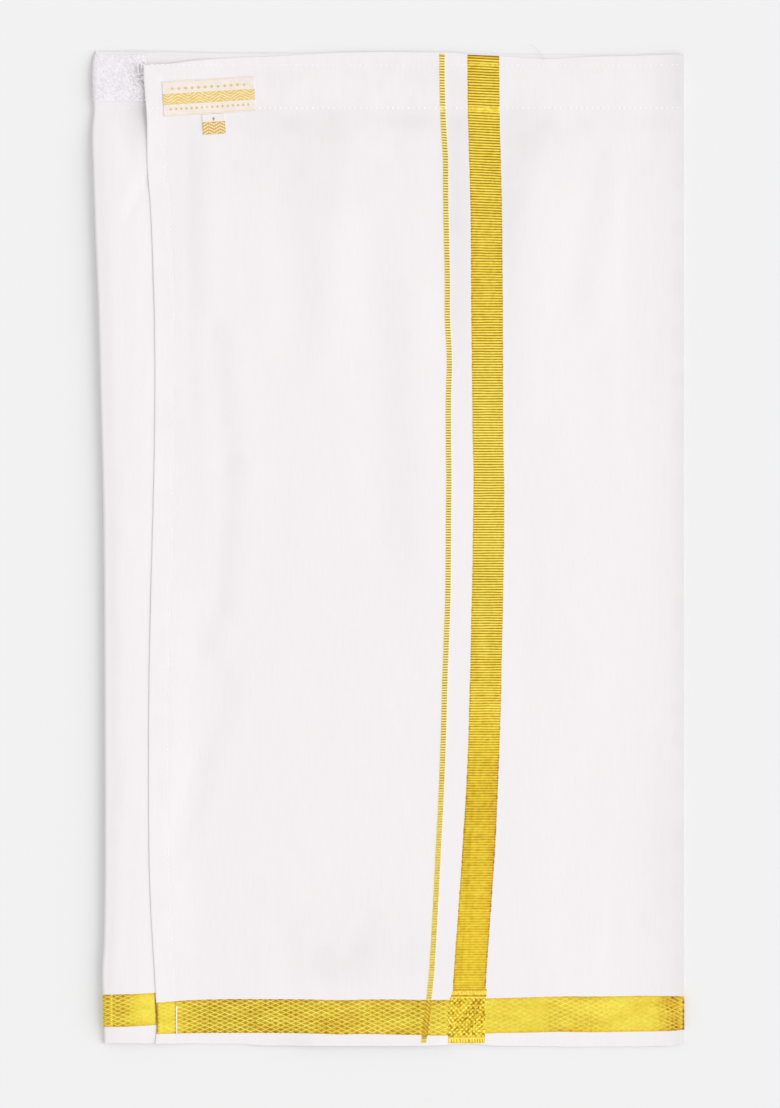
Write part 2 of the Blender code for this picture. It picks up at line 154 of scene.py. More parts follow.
# Edges and other tables of pairs: a place along X or Y, and the value there.
LEFT_FOLD = [
    (-297.6, -170), (-271, -170.8), (-253, -171.3), (-235, -170.3), (-181, -169.7), (-31, -170.2),
    (26, -170.7), (89, -172.3), (152, -174), (197, -175.8), (233, -177), (250, -177.4),
    (262, -176.4), (270, -176.5), (290, -176.7), (299.2, -175.2),
]
FREE_EDGE = [
    (-297.6, -139.6), (-286, -138.4), (-268, -139), (-238, -140.8), (-202, -142.5),
    (-160, -143.2), (-95, -143.1), (-46, -142.4), (14, -140.8), (50, -140), (86, -139.5),
    (134, -139.7), (170, -140.7), (205, -142.2), (232, -144.2), (260, -144.4), (269, -145.1),
    (276, -145.7), (284, -146.2), (290.4, -146.4),
]
WAIST_EDGE = [
    (-147, 290.1), (-130, 291), (-112, 293.4), (-64, 296.1), (-28, 297.9), (26, 298.1),
    (55, 296.7), (94, 294), (115, 295.2), (178.2, 296.7),
]
# How far the stack is pressed down at its waist edge and at its bottom edge, at each x.
WAIST_PRESS = [
    (-178, 1.5), (-120, 1.35), (-80, 1.35), (-45, 1.7), (30, 1.75), (90, 1.8), (178, 1.9),
]
BOTTOM_PRESS = [
    (-178, 1), (-110, 1.25), (-66, 0.9), (-35, 0), (25, 0), (55, 0.8), (85, 1.55), (178, 1.6),
]
UNDER_EDGE = [
    (-178, 299.2), (-130, 299.1), (-115, 298.4), (-80, 297.9), (-20, 298.2), (30, 298.3),
    (60, 297.6), (94, 296.9), (178.2, 296.9),
]
BOTTOM_EDGE = [
    (-147, -297.3), (-100, -297.3), (-70, -298.2), (17, -298.2), (50, -297.6), (75, -299),
    (120, -299.2), (160, -299), (171, -298.4), (178.2, -296.4),
]

# Soft folds: a line from (x0, y0) to (x1, y1), the fold's half width, and how far it
# raises the cloth, or lowers it where negative: (x0, y0, x1, y1, half width, height).
FLAP_FOLDS = [
    (-71, 248, -51, 118, 14, -0.46), (-21, 252, -42, 112, 13, 0.44), (-10, 186, -5, 8, 14, -0.54),
    (17, 152, 21, -12, 12, 0.38), (31, 258, 35, 130, 9, -0.26), (87, 256, 82, 88, 13, 0.46),
    (66, 62, 68, -10, 8, 0.16), (66, -20, 70, -110, 9, 0.30), (124, 236, 110, 148, 9.5, -0.28),
    (136, 224, 124, 144, 9.5, 0.24), (149, 232, 150, 70, 8, -0.34),
    (158, 66, 160, -140, 8, -0.26), (151, -152, 144, -268, 12, -0.62),
    (-108, 240, -109, 146, 8, 0.30), (-104, 132, -98, 52, 7.5, -0.34),
    (-97.5, 50, -102, -34, 8, -0.36), (-92, 126, -83, 48, 9.5, 0.22),
    (-83, 46, -89, -34, 9.5, 0.24), (-105, -36, -114, -54, 7, -0.18),
    (-111, -60, -100, -82, 8, -0.17), (-101, -92, -113, -124, 8, -0.22),
    (-116, -132, -125, -180, 8, -0.26), (-92, -34, -101, -56, 6, 0.10),
    (-97, -60, -85, -82, 8, 0.12), (-84, -92, -101, -130, 8, 0.16),
    (-103, -140, -112, -176, 8, 0.18), (-62, -212, 34, -216, 15, 0.50),
    (-66, -226, -58, -262, 9, -0.30), (-46, -250, -36, -268, 7, -0.22),
    (-14, -222, -20, -240, 8, -0.22), (118, -130, 108, -250, 20, -0.34),
    (-130, -30, -131, -220, 9, 0.18), (-42, -300, 28, -300, 15, 1.35),
    (90, 248, 77, 209, 4.5, -0.16), (-84, 255, -38, 255, 6, -0.34), (6, 256, 24, 256, 6, -0.30),
    (-119.5, 248, -119, 80, 3, -0.09), (17, 292, -1, 264, 3.4, -0.24), (9, 294, -9, 268, 4, 0.16),
    (-70, 294, -71, 268, 3, -0.12), (-60, 295, -60, 268, 3.2, 0.10),
    (-150, 292, -148, 255, 11, 0.70), (-46, 296, -47, 268, 3.5, -0.14),
    (-31, 296, -32, 268, 4, 0.10), (88, 292, 84, 268, 4, -0.12), (140, 294, 142, 268, 5, -0.12),
    (-52, 256, -58, 226, 7, -0.18), (6, 258, 3, 236, 5, -0.20),
]
# Painted shade: faint greyer places painted into the cloth's colour where it would lie in shade,
# by its folds, its edges and the right fold's rim.
FOLD_PAINTED_SHADE, FOLD_PAINTED_SHADE_REACH = 0.62, (11.0, 0.5)     # along the right fold
RIM_PAINTED_SHADE, RIM_PAINTED_SHADE_REACH = 0.38, (1.6, 0.4)        # and more on its rim
EDGE_PAINTED_SHADE, EDGE_PAINTED_SHADE_AT, EDGE_PAINTED_SHADE_REACH = 0.25, 8.0, 16.0   # along the free edge
PAINTED_SHADE_UNEVEN = 0.35
# Each is (x, y, reach along x, reach along y, share).
PAINTED_SHADE_SPOTS = [
    (20, 256.5, 190, 8.5, 0.24), (-62, 252, 30, 12, 0.26), (30, 232, 170, 24, 0.17),
    (20, 284, 190, 14, 0.10), (92, 248, 12, 14, 0.26), (-54, 205, 18, 26, 0.12),
    (-65, 283, 16, 10, 0.14), (-20, 258, 60, 9, 0.10), (12, 258, 15, 7, 0.24),
    (46, 256, 12, 8, 0.16), (86, 250, 14, 14, 0.20), (80, 228, 8, 18, 0.24),
    (-16, -246, 46, 15, 0.34), (-34, -248, 16, 9, 0.14), (-18, -222, 42, 16, 0.16),
    (20, 282, 20, 9, 0.22), (168, 272, 9, 26, 0.26), (168, -190, 12, 60, 0.20),
    (-76, 230, 14, 20, 0.14), (43, 185, 8, 75, 0.50), (72, 205, 8, 48, 0.42),
]
# Painted shade on the strip and the tape's pile, where the outer flap's lifted corner would shade
# them.
STRIP_PAINTED_SHADE = [(-148, 266, 8.5, 26, 0.85)]      # beside the outer flap's corner
STRIP_FOLDS = [
    (-144, 221, -156, 199, 3.5, -0.22), (-150, 226, -163, 206, 4, 0.14),
    (-160, 252, -156, 238, 5, -0.22), (-158, 190, -157, 60, 5, -0.12),
    (-160, 20, -157, -150, 5.5, 0.10), (-154, -165, -156, -255, 5, -0.12),
]

# ---- zari, mm
# The thin line and the wide stripe: x of the middle at each y.
LINE = [
    (-296.9, 21.7), (-267.9, 25.15), (-252.9, 26.63), (-222.9, 28.4), (-186, 30.28),
    (-150.9, 32.09), (-114, 33.56), (-78.9, 34.45), (-54.3, 35.39), (-30.3, 36.23), (-6.9, 36.52),
    (17.7, 36.67), (41.7, 36.9), (65.7, 36.64), (89.7, 36.63), (113.7, 37.19), (137.7, 36.01),
    (161.7, 35.99), (185.7, 35.46), (209.7, 34.97), (233.7, 34.81), (257.7, 33.46),
    (281.7, 32.76), (297.6, 32.8),
]
STRIPE = [
    (-297, 46.99), (-267.9, 48.84), (-252.9, 49.71), (-222.9, 51.87), (-186.9, 54.35),
    (-150.9, 56.4), (-114.9, 57.94), (-78.9, 58.93), (-42, 59.72), (-6.9, 60.43), (17.7, 60.71),
    (41.7, 60.86), (65.7, 60.35), (89.7, 60.11), (113.7, 59.97), (161.7, 59.63), (203.1, 59.3),
    (239.1, 58.35), (264, 57.74), (296.5, 57.51),
]
LINE_WIDTH = 3.4
LINE_WIDTHS = [(-300, LINE_WIDTH), (300, LINE_WIDTH)]
# The stripe's width at each y.
STRIPE_WIDTHS = [
    (-300, 19.6), (-172, 19.5), (-150, 19), (-120, 18.8), (10, 18.7), (42, 18.3), (66, 18.4),
    (116, 18.6), (145, 18.9), (200, 18.8), (260, 19.05), (300, 19),
]
# The border's upper and lower edges: y at each x, on the outer flap and on the strip.
BORDER_HIGH = [
    (-138, -272.3), (-129.9, -271.75), (-118.5, -271.05), (-100, -270.5), (-82.5, -270.3),
    (-50, -270.5), (-26, -270.95), (-14, -270.6), (-2, -270.5), (34.5, -270.8), (61.5, -269.85),
    (79.5, -269.4), (104, -268.75), (121.5, -268.8), (142, -268.7), (152, -268.45), (178, -268.6),
]
BORDER_LOW = [
    (-138, -291.4), (-118.5, -291), (-82.5, -290.85), (-50, -290.9), (-38, -291.15),
    (-28.5, -291.5), (-14, -291.25), (10, -291.7), (34.5, -292.2), (61.5, -291.05),
    (79.5, -290.75), (94, -290.4), (104, -290.15), (121.5, -290.45), (142, -290.15),
    (169.5, -289.65), (177.3, -288.9),
]
INNER_HIGH = [(-170, -267.6), (-155, -267.15), (-139, -266.55)]
INNER_LOW = [(-170, -286.95), (-155, -286.7), (-139, -285.85)]
# How clearly the border's lattice shows, from 0 to 1, at each x.
LATTICE_SHOWS = [
    (-140, 0.25), (-128, 0.20), (-124, 0.75), (-110, 1), (-60, 1), (-30, 0.86), (20, 0.84),
    (36, 0.55), (60, 0.30), (92, 0.12), (100, 0.45), (122, 0.40), (134, 0.14), (160, 0.15),
    (166, 0.4), (190, 0.4),
]
# Columns of short dark dashes by the right fold: x and how dark.
END_MARKS = [(163.2, 0.10), (165.6, 0.18), (168.2, 0.34), (170.6, 0.46), (172.8, 0.50),
             (174.6, 0.28)]
DASH_PITCH = 2.1
# How clearly the wide stripe's ribs show at each y.
RIBS_SHOW = [
    (-300, 0.30), (-250, 0.30), (-205, 0.40), (-150, 0.50), (-105, 0.85), (-45, 1.20), (20, 1.35),
    (90, 1.30), (160, 1.05), (230, 1.15), (300, 1.20),
]
# The stripe's tone, and how orange its left and right edges are, at each y.
STRIPE_TONE = [
    (-300, 0.54), (-238, 0.53), (-202, 0.52), (-184, 0.49), (-148, 0.475), (-112, 0.555),
    (-94, 0.55), (-58, 0.505), (-22, 0.505), (50, 0.525), (122, 0.52), (185, 0.475), (300, 0.465),
]
WARM_LEFT = [(-300, 0.15), (90, 0.2), (140, 0.75), (185, 0.6), (240, 0.3), (300, 0.4)]
WARM_RIGHT = [(-300, 0.3), (-225, 0.4), (-180, 0.9), (-120, 0.35), (-60, 0.1), (300, 0.1)]
# How far a rib drops from the stripe's left edge to its right one, at each y.
RIB_SLANT = [(140, 0), (170, 0.15), (205, 0.65), (240, 0.86), (300, 0.9)]
# The crossing: its two edges at each y, the tone of its bands, and its check's place.
CROSSING_TOP, CROSSING_FOOT = -264.4, -296.9
CHECK_HIGH, CHECK_LOW = (-269.1, -269.7), (-293.2, -292.6)
CROSSING_LEFT = [(-297, 36.6), (-280, 36.2), (-272, 37.2), (-264, 39.8)]
CROSSING_RIGHT = [(-297, 58.6), (-280, 58.8), (-264, 59.6)]
CROSSING_BANDS = [
    (-297.2, 0.50), (-296.5, 0.72), (-295.2, 0.90), (-293.8, 0.92), (-293.3, 0.46),
    (-292.7, 0.60), (-270, 0.60), (-269.6, 0.95), (-269, 0.90), (-268.6, 0.30), (-268.1, 0.30),
    (-267.5, 0.84), (-265.4, 0.82), (-264.9, 0.33), (-264.2, 0.40),
]
INNER_SHOWS = [(-178, 0.9), (-158, 0.85), (-152, 0.25), (-146, 0), (-138, 0)]
LATTICE_X, LATTICE_Y = 6.1, 2.48
RIB_PITCHES = [(-300, 1.52), (0, 1.56), (150, 1.59), (300, 1.65)]
BORDER_END = 180.2             # along the cloth, round the right fold's bend
CHECK_U, CHECK_V = (0.352, -0.372), (0.332, 0.318)     # the check's turns a mm, along x and y
ZARI_BASE = 0.10               # how deep a band's underside lies in the cloth
ZARI_PROUD = 0.07              # its lowest outer points stand this far out
RIB = 0.15
ROWS_A_RIB = 4
RIB_END_WAVER = 0.10
STRIPE_WIDEST = 19.7
# Darker lines down the stripe: the share of its width, and how dark.
WARP_LINES = [(0.015, 0.10), (0.22, 0.06), (0.42, 0.05), (0.75, 0.06), (0.985, 0.20)]
LATTICE_RELIEF = 0.11
BORDER_WIDTH = 19.5
BORDER_ABOUT = (-267.5, -289.5)                    # where it goes on below, as plain colour
HIDDEN_ZARI_TONE = 0.7
# painted highlight along a pressed crease:
CREASE_HIGHLIGHT_X = -165.3         # on the inner border


# ---- plain functions
def smoothstep(low, high, value):
    share = np.clip((value - low) / (high - low), 0.0, 1.0)
    return share * share * (3.0 - 2.0 * share)


def mix(start, end, share):
    return start + (end - start) * share


def edge_at(table, along):
    """An edge's position at each place along it, on a smooth curve through its stations."""
    at, across = np.array(table).T
    slopes = np.empty_like(at)
    slopes[1:-1] = (across[2:] - across[:-2]) / (at[2:] - at[:-2])
    slopes[0] = (across[1] - across[0]) / (at[1] - at[0])
    slopes[-1] = (across[-1] - across[-2]) / (at[-1] - at[-2])
    along = np.clip(along, at[0], at[-1])
    k = np.clip(np.searchsorted(at, along, side="right") - 1, 0, len(at) - 2)
    span = at[k + 1] - at[k]
    t = (along - at[k]) / span
    rise = t * t * (3.0 - 2.0 * t)
    leave = t * (1.0 - t) ** 2 * span * slopes[k]
    arrive = -t * t * (1.0 - t) * span * slopes[k + 1]
    return mix(across[k], across[k + 1], rise) + leave + arrive


def level(table, along):
    """A value between a table's stations, on straight runs."""
    at, across = np.array(table).T
    return np.interp(along, at, across)


def noise(x, y, step_x, step_y, seed):
    """Smooth noise from -1 to 1, its hills about a step apart."""
    grid = np.random.default_rng(seed).uniform(-1.0, 1.0, (NOISE_GRID, NOISE_GRID))
    u, v = np.broadcast_arrays(x / step_x + NOISE_FROM[0], y / step_y + NOISE_FROM[1])
    column, row = np.floor(u).astype(int), np.floor(v).astype(int)
    u, v = (w * w * w * (w * (6 * w - 15) + 10) for w in (u - column, v - row))
    left, right = column % NOISE_GRID, (column + 1) % NOISE_GRID
    near, far = (mix(grid[r, left], grid[r, right], u)
                 for r in (row % NOISE_GRID, (row + 1) % NOISE_GRID))
    return mix(near, far, v)


def rough(table, x, y):
    """Noise of several sizes: rows of a height, the steps along x and y, and a seed."""
    return sum(height * noise(x, y, *steps_and_seed) for height, *steps_and_seed in table)


def bell(away, reach):
    """A soft bump: 1 in its middle, 0.37 at its reach."""
    return np.exp(-(away / reach) ** 2)


def points_at(x, y, z):
    return np.stack(np.broadcast_arrays(x, y, z), axis=-1)


def unit(vectors):
    return vectors / np.maximum(np.linalg.norm(vectors, axis=-1, keepdims=True), TINY)


def folds_at(folds, x, y):
    """How far a table's soft folds raise the cloth."""
    height = 0.0
    for x0, y0, x1, y1, half_width, rise in folds:
        run_x, run_y = x1 - x0, y1 - y0
        share = ((x - x0) * run_x + (y - y0) * run_y) / (run_x ** 2 + run_y ** 2)
        share = np.clip(share, 0.0, 1.0)
        away = np.hypot(x - x0 - share * run_x, y - y0 - share * run_y)
        height = height + rise * bell(away, half_width)
    return height


# ---- the cloth's surfaces
def waist_hem(y):
    return smoothstep(HEM_FOOT, HEM_TOP, y)


def side_hem(x, y):
    """The side hem: thickest at the free edge, thinner towards its stitches."""
    from_edge = np.maximum(x - edge_at(FREE_EDGE, y), 0.0)
    tapered = 1.0 - 0.7 * np.clip(from_edge / SIDE_HEM, 0.0, 1.0)
    return tapered * (1.0 - smoothstep(SIDE_HEM, SIDE_HEM_FOOT, from_edge))


def edge_fall(distance, reach, drop):
    """How far a rounded edge has fallen, at a distance in from it."""
    share = np.clip(1.0 - distance / reach, 0.0, 1.0)
    return drop * (1.0 - np.sqrt(1.0 - share ** 2))


def left_puff(x, y):
    """How far the left fold, which isn't pressed flat, stands up, and the cloth by it."""
    away = x - edge_at(LEFT_FOLD, y)
    near = mix(PUFF_TIP, 1.0, smoothstep(0.0, PUFF_RISE, away))
    flatter = sum(share * smoothstep(start, end, y) for share, start, end in PUFF_FLATTER)
    return FOLD_PUFF * near * (1.0 - smoothstep(PUFF_RISE, PUFF_END, away)) * (1.0 - flatter)


def nose_middle(y):
    """Height of the left fold's tip."""
    fold_x = edge_at(LEFT_FOLD, y)
    return (stack_top(fold_x, y) + left_puff(fold_x, y)) / 2.0


def pressed(x, y):
    """How far the stack is pressed down, near its waist edge and its bottom edge."""
    waist = level(WAIST_PRESS, x) * smoothstep(PRESS_HIGH, UNDER_WAIST, y)
    return waist + level(BOTTOM_PRESS, x) * smoothstep(PRESS_LOW, UNDER_BOTTOM, y)


def stack_top(x, y):
    """The two panels below, each with its own waist hem."""
    return STACK - pressed(x, y) + 2.0 * LAYER_HEM * waist_hem(y)


def flap_rest(x, y):
    """What the outer flap lies on: it comes down slowly off the hems below it."""
    hems = 2.0 * LAYER_HEM * smoothstep(HEM_DRAPE, HEM_TOP, y)
    return STACK - pressed(x, y) + LAYER_GAP + hems


def under_fall(y):
    """How far the waist and bottom edges of the layers below are rounded down."""
    return edge_fall(UNDER_WAIST - y, *WAIST_ROUND) + edge_fall(y - UNDER_BOTTOM, *BOTTOM_ROUND)


def strip_top(x, y):
    """The inner flap's outer face, where its strip shows."""
    fold_x = edge_at(LEFT_FOLD, y)
    inside = smoothstep(*STRIP_RELIEF, x - fold_x)
    seam = -0.09 * bell(y - HEM_LINE, SEAM_REACH)
    shows = 1.0 - smoothstep(*STRIP_HIDES, x)
    relief = (folds_at(STRIP_FOLDS, x, y) + rough(STRIP_CRUMPLE, x, y) + seam) * inside * shows
    return stack_top(x, y) + left_puff(x, y) + relief - under_fall(y)


def flap_wall(x, y):
    return FLAP_WALL + np.maximum(FLAP_HEM * waist_hem(y), FLAP_SIDE_HEM * side_hem(x, y))


def flap_lift(x, y):
    """How far the outer flap's soft folds hold it off the layers below."""
    eased = mix(EASE_FREE_EDGE_LOW, EASE_FREE_EDGE, smoothstep(*EASE_CHANGES, y))
    inside = smoothstep(EASE_FROM, eased, x - edge_at(FREE_EDGE, y))
    inside = inside * smoothstep(*EASE_RIGHT_FOLD, RIGHT_FOLD - x)
    inside = inside * smoothstep(0.0, EASE_WAIST, HEM_TOP - y)
    inside = inside * smoothstep(0.0, EASE_BOTTOM, y - UNDER_BOTTOM)
    height = REST_LIFT * inside + folds_at(FLAP_FOLDS, x, y)
    on_tape = smoothstep(*TAPE_EASE, x) * smoothstep(*TAPE_DRAPE, y)
    # the layers below keep a fold from sinking into them
    return np.maximum(height, SUNK_SHARE * height) + TAPE_LIFT * on_tape


def flap_crumple(x, y):
    """Fine unevenness of the outer flap, and the pull of its stitches."""
    from_side = x - edge_at(FREE_EDGE, y) - SIDE_LINE
    from_waist = y - HEM_LINE
    pull = -SEAM_DIP * bell(from_waist, SEAM_REACH)
    pull = pull - SIDE_SEAM_DIP * bell(from_side, SIDE_SEAM_REACH)
    pull = pull + np.exp(-np.abs(from_waist) / WAIST_PULL_REACH) * rough(WAIST_PULL, x, y)
    pull = pull + rough(HEM_PUCKERS, x, y) * smoothstep(HEM_FOOT - 3.0, HEM_TOP, y)
    pull = pull + np.exp(-np.abs(from_side) / SIDE_PULL_REACH) * rough(SIDE_PULL, x, y)
    return rough(FLAP_WAVES, x, y) + pull


def flap_fall(x, y):
    """How far the flap's edges are rounded down."""
    reach = mix(*FLAP_WAIST_REACH, smoothstep(*FLAP_WAIST_WIDENS, x))
    waist = edge_fall(edge_at(WAIST_EDGE, x) - y, reach, FLAP_WAIST_DROP)
    free = edge_fall(x - edge_at(FREE_EDGE, y), *FLAP_SIDE_ROUND)
    return np.maximum(waist, free) + edge_fall(y - edge_at(BOTTOM_EDGE, x), *FLAP_BOTTOM_ROUND)


def flap_top(x, y):
    """The outer flap's outer face, as far as the right fold's bend."""
    flat = flap_rest(x, y) + left_puff(x, y) + flap_wall(x, y) - flap_fall(x, y)
    to_fold = RIGHT_FOLD - x
    ends = smoothstep(*END_ROLL_HIGH, y) + smoothstep(*END_ROLL_LOW, y)
    roll = FOLD_ROLL * smoothstep(*FOLD_ROLL_REACH, to_fold)
    roll = roll + END_ROLL * ends * smoothstep(*END_ROLL_REACH, to_fold)
    return flat + flap_lift(x, y) + flap_crumple(x, y) + roll


def flap_place(run_x, y, out=0.0):
    """A place on the outer flap, and a distance out from it.

    run_x is x as far as the bend, and goes on along the cloth round it and below.
    """
    bend_x = RIGHT_FOLD - FOLD_BEND
    half = flap_top(np.minimum(run_x, bend_x), y) / 2.0
    past = np.maximum(run_x - bend_x, 0.0)
    angle = np.clip(past / FOLD_TURN, 0.0, 1.0) * math.pi
    below = np.maximum(past - FOLD_TURN, 0.0)
    sideways = np.maximum(np.sin(angle), 0.0) ** BEND_POWER
    upright = np.sign(np.cos(angle)) * np.abs(np.cos(angle)) ** BEND_POWER
    inward = FOLD_UNDERCUT * (0.5 - 0.5 * np.cos(angle)) ** 2 + below
    x = np.where(past > 0.0, bend_x + (FOLD_BEND + out) * sideways - inward, run_x)
    high = flap_top(run_x, y) + out
    z = np.where(past > 0.0, half + (half + out) * upright, high)
    return points_at(x, y, z)


def nose_share(lean):
    """How far up the left fold's rounding is, from its tip, where lean is 1."""
    return np.maximum(1.0 - lean ** 3, 0.0) ** (1.0 / 3.0)


def strip_place(x, y, out=0.0):
    """A place on the inner flap's strip, as far as the left fold's tip."""
    lean = 1.0 - np.clip((x - edge_at(LEFT_FOLD, y)) / NOSE_TOP, 0.0, 1.0)
    middle = nose_middle(y)
    z = middle + (strip_top(x, y) - middle + out) * nose_share(lean)
    return points_at(x - out * lean ** 2, y, z)


# ---- meshes
def add_object(name, data):
    thing = bpy.data.objects.new(name, data)
    bpy.context.collection.objects.link(thing)
    return thing


def add_piece(name, points, faces, materials, values=None, places=None):
    """A named piece of the object, from points in millimetres, riding on the part."""
    mesh = bpy.data.meshes.new(name)
    mesh.from_pydata((np.asarray(points) * MM).tolist(), [], faces)
    for attribute, numbers in (values or {}).items():
        layer = mesh.attributes.new(attribute, "FLOAT", "POINT")
        layer.data.foreach_set("value", np.asarray(numbers, np.float32).ravel())
    for material in materials:
        mesh.materials.append(material)
    if places is not None:
        mesh.polygons.foreach_set("material_index", np.asarray(places, np.int32))
    bm = bmesh.new()
    bm.from_mesh(mesh)
    bmesh.ops.recalc_face_normals(bm, faces=bm.faces)
    bm.to_mesh(mesh)
    bm.free()
    mesh.shade_smooth()
    mesh.set_sharp_from_angle(angle=math.radians(SHARP_ANGLE))
    piece = add_object(name, mesh)
    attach(piece, "root")
    return piece


def grid_quads(rows, columns):
    number = np.arange(rows * columns).reshape(rows, columns)
    return np.stack([number[:-1, :-1], number[1:, :-1], number[1:, 1:], number[:-1, 1:]],
                    axis=-1).reshape(-1, 4)


def outer_ring(rows, columns):
    """The places round a grid, once round, as rows and columns."""
    right, low = columns - 1, rows - 1
    ring = [(0, c) for c in range(right)] + [(r, right) for r in range(low)]
    ring += [(low, c) for c in range(right, 0, -1)] + [(r, 0) for r in range(low, 0, -1)]
    return np.array(ring).T


RIM_ANGLES = (0.25, 0.5, 0.75)     # of a half turn, where a rounded rim has points


def shell(outer, inner, bulge):
    """Points and quads of a wall between two grids of points, its rim rounded out.

    A point's number in the outer grid stays its number in the result.
    """
    rows, columns = outer.shape[:2]
    count = rows * columns
    quads = grid_quads(rows, columns)
    r, c = outer_ring(rows, columns)
    high, low = outer[r, c], inner[r, c]
    away = unit(high - outer[np.clip(r, 1, rows - 2), np.clip(c, 1, columns - 2)])
    rings = [r * columns + c]
    points = [outer.reshape(-1, 3), inner.reshape(-1, 3)]
    for k, share in enumerate(RIM_ANGLES):
        angle = share * math.pi
        between = (high + low) / 2 + (high - low) / 2 * math.cos(angle)
        points.append(between + away * bulge * math.sin(angle))
        rings.append(2 * count + k * len(r) + np.arange(len(r)))
    rings.append(count + r * columns + c)
    faces = [quads, quads[:, ::-1] + count]
    for ring, following in zip(rings, rings[1:]):
        faces.append(np.stack([ring, following, np.roll(following, -1), np.roll(ring, -1)],
                              axis=-1))
    return np.concatenate(points), np.concatenate(faces).tolist()


def loft(rings):
    """Points and faces of a solid through closed rings of points, with flat ends."""
    stations, around = rings.shape[:2]
    number = np.arange(stations * around).reshape(stations, around)
    turned = np.roll(number, -1, axis=1)
    quads = np.stack([number[:-1], number[1:], turned[1:], turned[:-1]], axis=-1)
    faces = quads.reshape(-1, 4).tolist()
    faces += [number[0].tolist(), number[-1][::-1].tolist()]
    return rings.reshape(-1, 3), faces


def many(points, faces, axes, origins):
    """One small shape, repeated: its points in each copy's own axes, from its origin."""
    placed = np.einsum("pk,nkd->npd", points, axes) + origins[:, None, :]
    count = len(points)
    joined = []
    for k in range(len(origins)):
        joined += [[v + k * count for v in face] for face in faces]
    return placed.reshape(-1, 3), joined


# ---- materials
BAND_A_UNIT = 0.314            # a wave texture's scale that gives one band to a unit
COTTON_PITCH, ZARI_PITCH, SATIN_PITCH = 0.55, 0.36, 0.4      # of the weave, mm
SLUBS = (700.0, 60.0, 300.0)   # a metre, along each axis
TWIST, TWIST_SHADE = (3300.0, 3300.0, 3300.0), 0.93


def linear(*levels):
    """A colour given on the 0 to 255 scale, as the shader takes it."""
    shares = [v / 255.0 for v in levels]
    return tuple(s / 12.92 if s <= 0.04045 else ((s + 0.055) / 1.055) ** 2.4
                 for s in shares) + (1.0,)


def new_node(tree, kind, inputs, **settings):
    """A shader node. Each input is a value, or the output that it is linked to."""
    node = tree.nodes.new("ShaderNode" + kind)
    for setting, value in settings.items():
        setattr(node, setting, value)
    for socket, value in inputs.items():
        if isinstance(value, bpy.types.NodeSocket):
            tree.links.new(value, node.inputs[socket])
        else:
            node.inputs[socket].default_value = value
    return node


def new_material(name, roughness, metallic=0.0, sheen=0.0, specular=0.5):
    material = bpy.data.materials.new(name)
    material.use_nodes = True
    shader = material.node_tree.nodes["Principled BSDF"]
    for socket, value in (("Roughness", roughness), ("Metallic", metallic),
                          ("Sheen Weight", sheen), ("Sheen Roughness", 0.5),
                          ("Specular IOR Level", specular)):
        shader.inputs[socket].default_value = value
    return material, material.node_tree, shader


def place_node(tree, scale):
    """Object coordinates, multiplied along each axis."""
    where = new_node(tree, "TexCoord", {}).outputs["Object"]
    return new_node(tree, "Mapping", {"Scale": scale, "Vector": where}).outputs["Vector"]


def point_value(tree, name):
    """A value that the piece's own points carry."""
    return new_node(tree, "Attribute", {}, attribute_name=name).outputs["Fac"]


def ramp_node(tree, value, stops):
    """A colour ramp through (position, colour) stops."""
    ramp = tree.nodes.new("ShaderNodeValToRGB")
    elements = ramp.color_ramp.elements
    for _ in range(len(stops) - 2):
        elements.new(0.5)
    for element, (position, colour) in zip(elements, stops):
        element.position = position
        element.color = colour
    tree.links.new(value, ramp.inputs["Fac"])
    return ramp.outputs["Color"]


def multiplied(tree, share, colour, factor):
    """A colour times another, as far as share says."""
    return new_node(tree, "Mix", {"Factor": share, "A": colour, "B": factor},
                    data_type="RGBA", blend_type="MULTIPLY").outputs["Result"]


def bump_node(tree, shader, height, strength, distance):
    bump = new_node(tree, "Bump", {"Strength": strength, "Distance": distance * MM,
                                   "Height": height})
    tree.links.new(bump.outputs["Normal"], shader.inputs["Normal"])


def weave_height(tree, pitch):
    """Plain weave: threads along X and along Y, in the sizes of real yarn."""
    each = 1.0 / (pitch * MM)
    threads = [new_node(tree, "TexWave",
                        {"Scale": BAND_A_UNIT, "Distortion": 1.2, "Detail": 1.0,
                         "Detail Scale": 0.4, "Vector": place_node(tree, (each, each, each))},
                        bands_direction=direction).outputs["Fac"]
               for direction in ("X", "Y")]
    return new_node(tree, "Math", dict(enumerate(threads)), operation="ADD").outputs[0]


DARKEST_PAINTED_SHADE = (0.9, 0.9, 0.9, 1.0)    # painted shade: the most that it darkens the cloth's and threads' colour


def with_painted_shade(tree, colour):
    """A colour, darkened by painted shade as far as the piece's own places say."""
    return multiplied(tree, point_value(tree, "painted_shade"), colour, DARKEST_PAINTED_SHADE)


def cotton(name, light, shade):
    """White cotton: plain weave, with slubs that run along the yarn."""
    material, tree, shader = new_material(name, 0.88, sheen=0.05, specular=0.25)
    slub = new_node(tree, "TexNoise", {"Scale": 1.0, "Detail": 4.0, "Roughness": 0.62,
                                       "Vector": place_node(tree, SLUBS)})
    colour = ramp_node(tree, slub.outputs["Fac"], [(0.25, shade), (0.72, light)])
    # painted shade from the piece's own points darkens the slubbed colour
    tree.links.new(with_painted_shade(tree, colour), shader.inputs["Base Color"])
    bump_node(tree, shader, weave_height(tree, COTTON_PITCH), 0.35, 0.05)
    return material


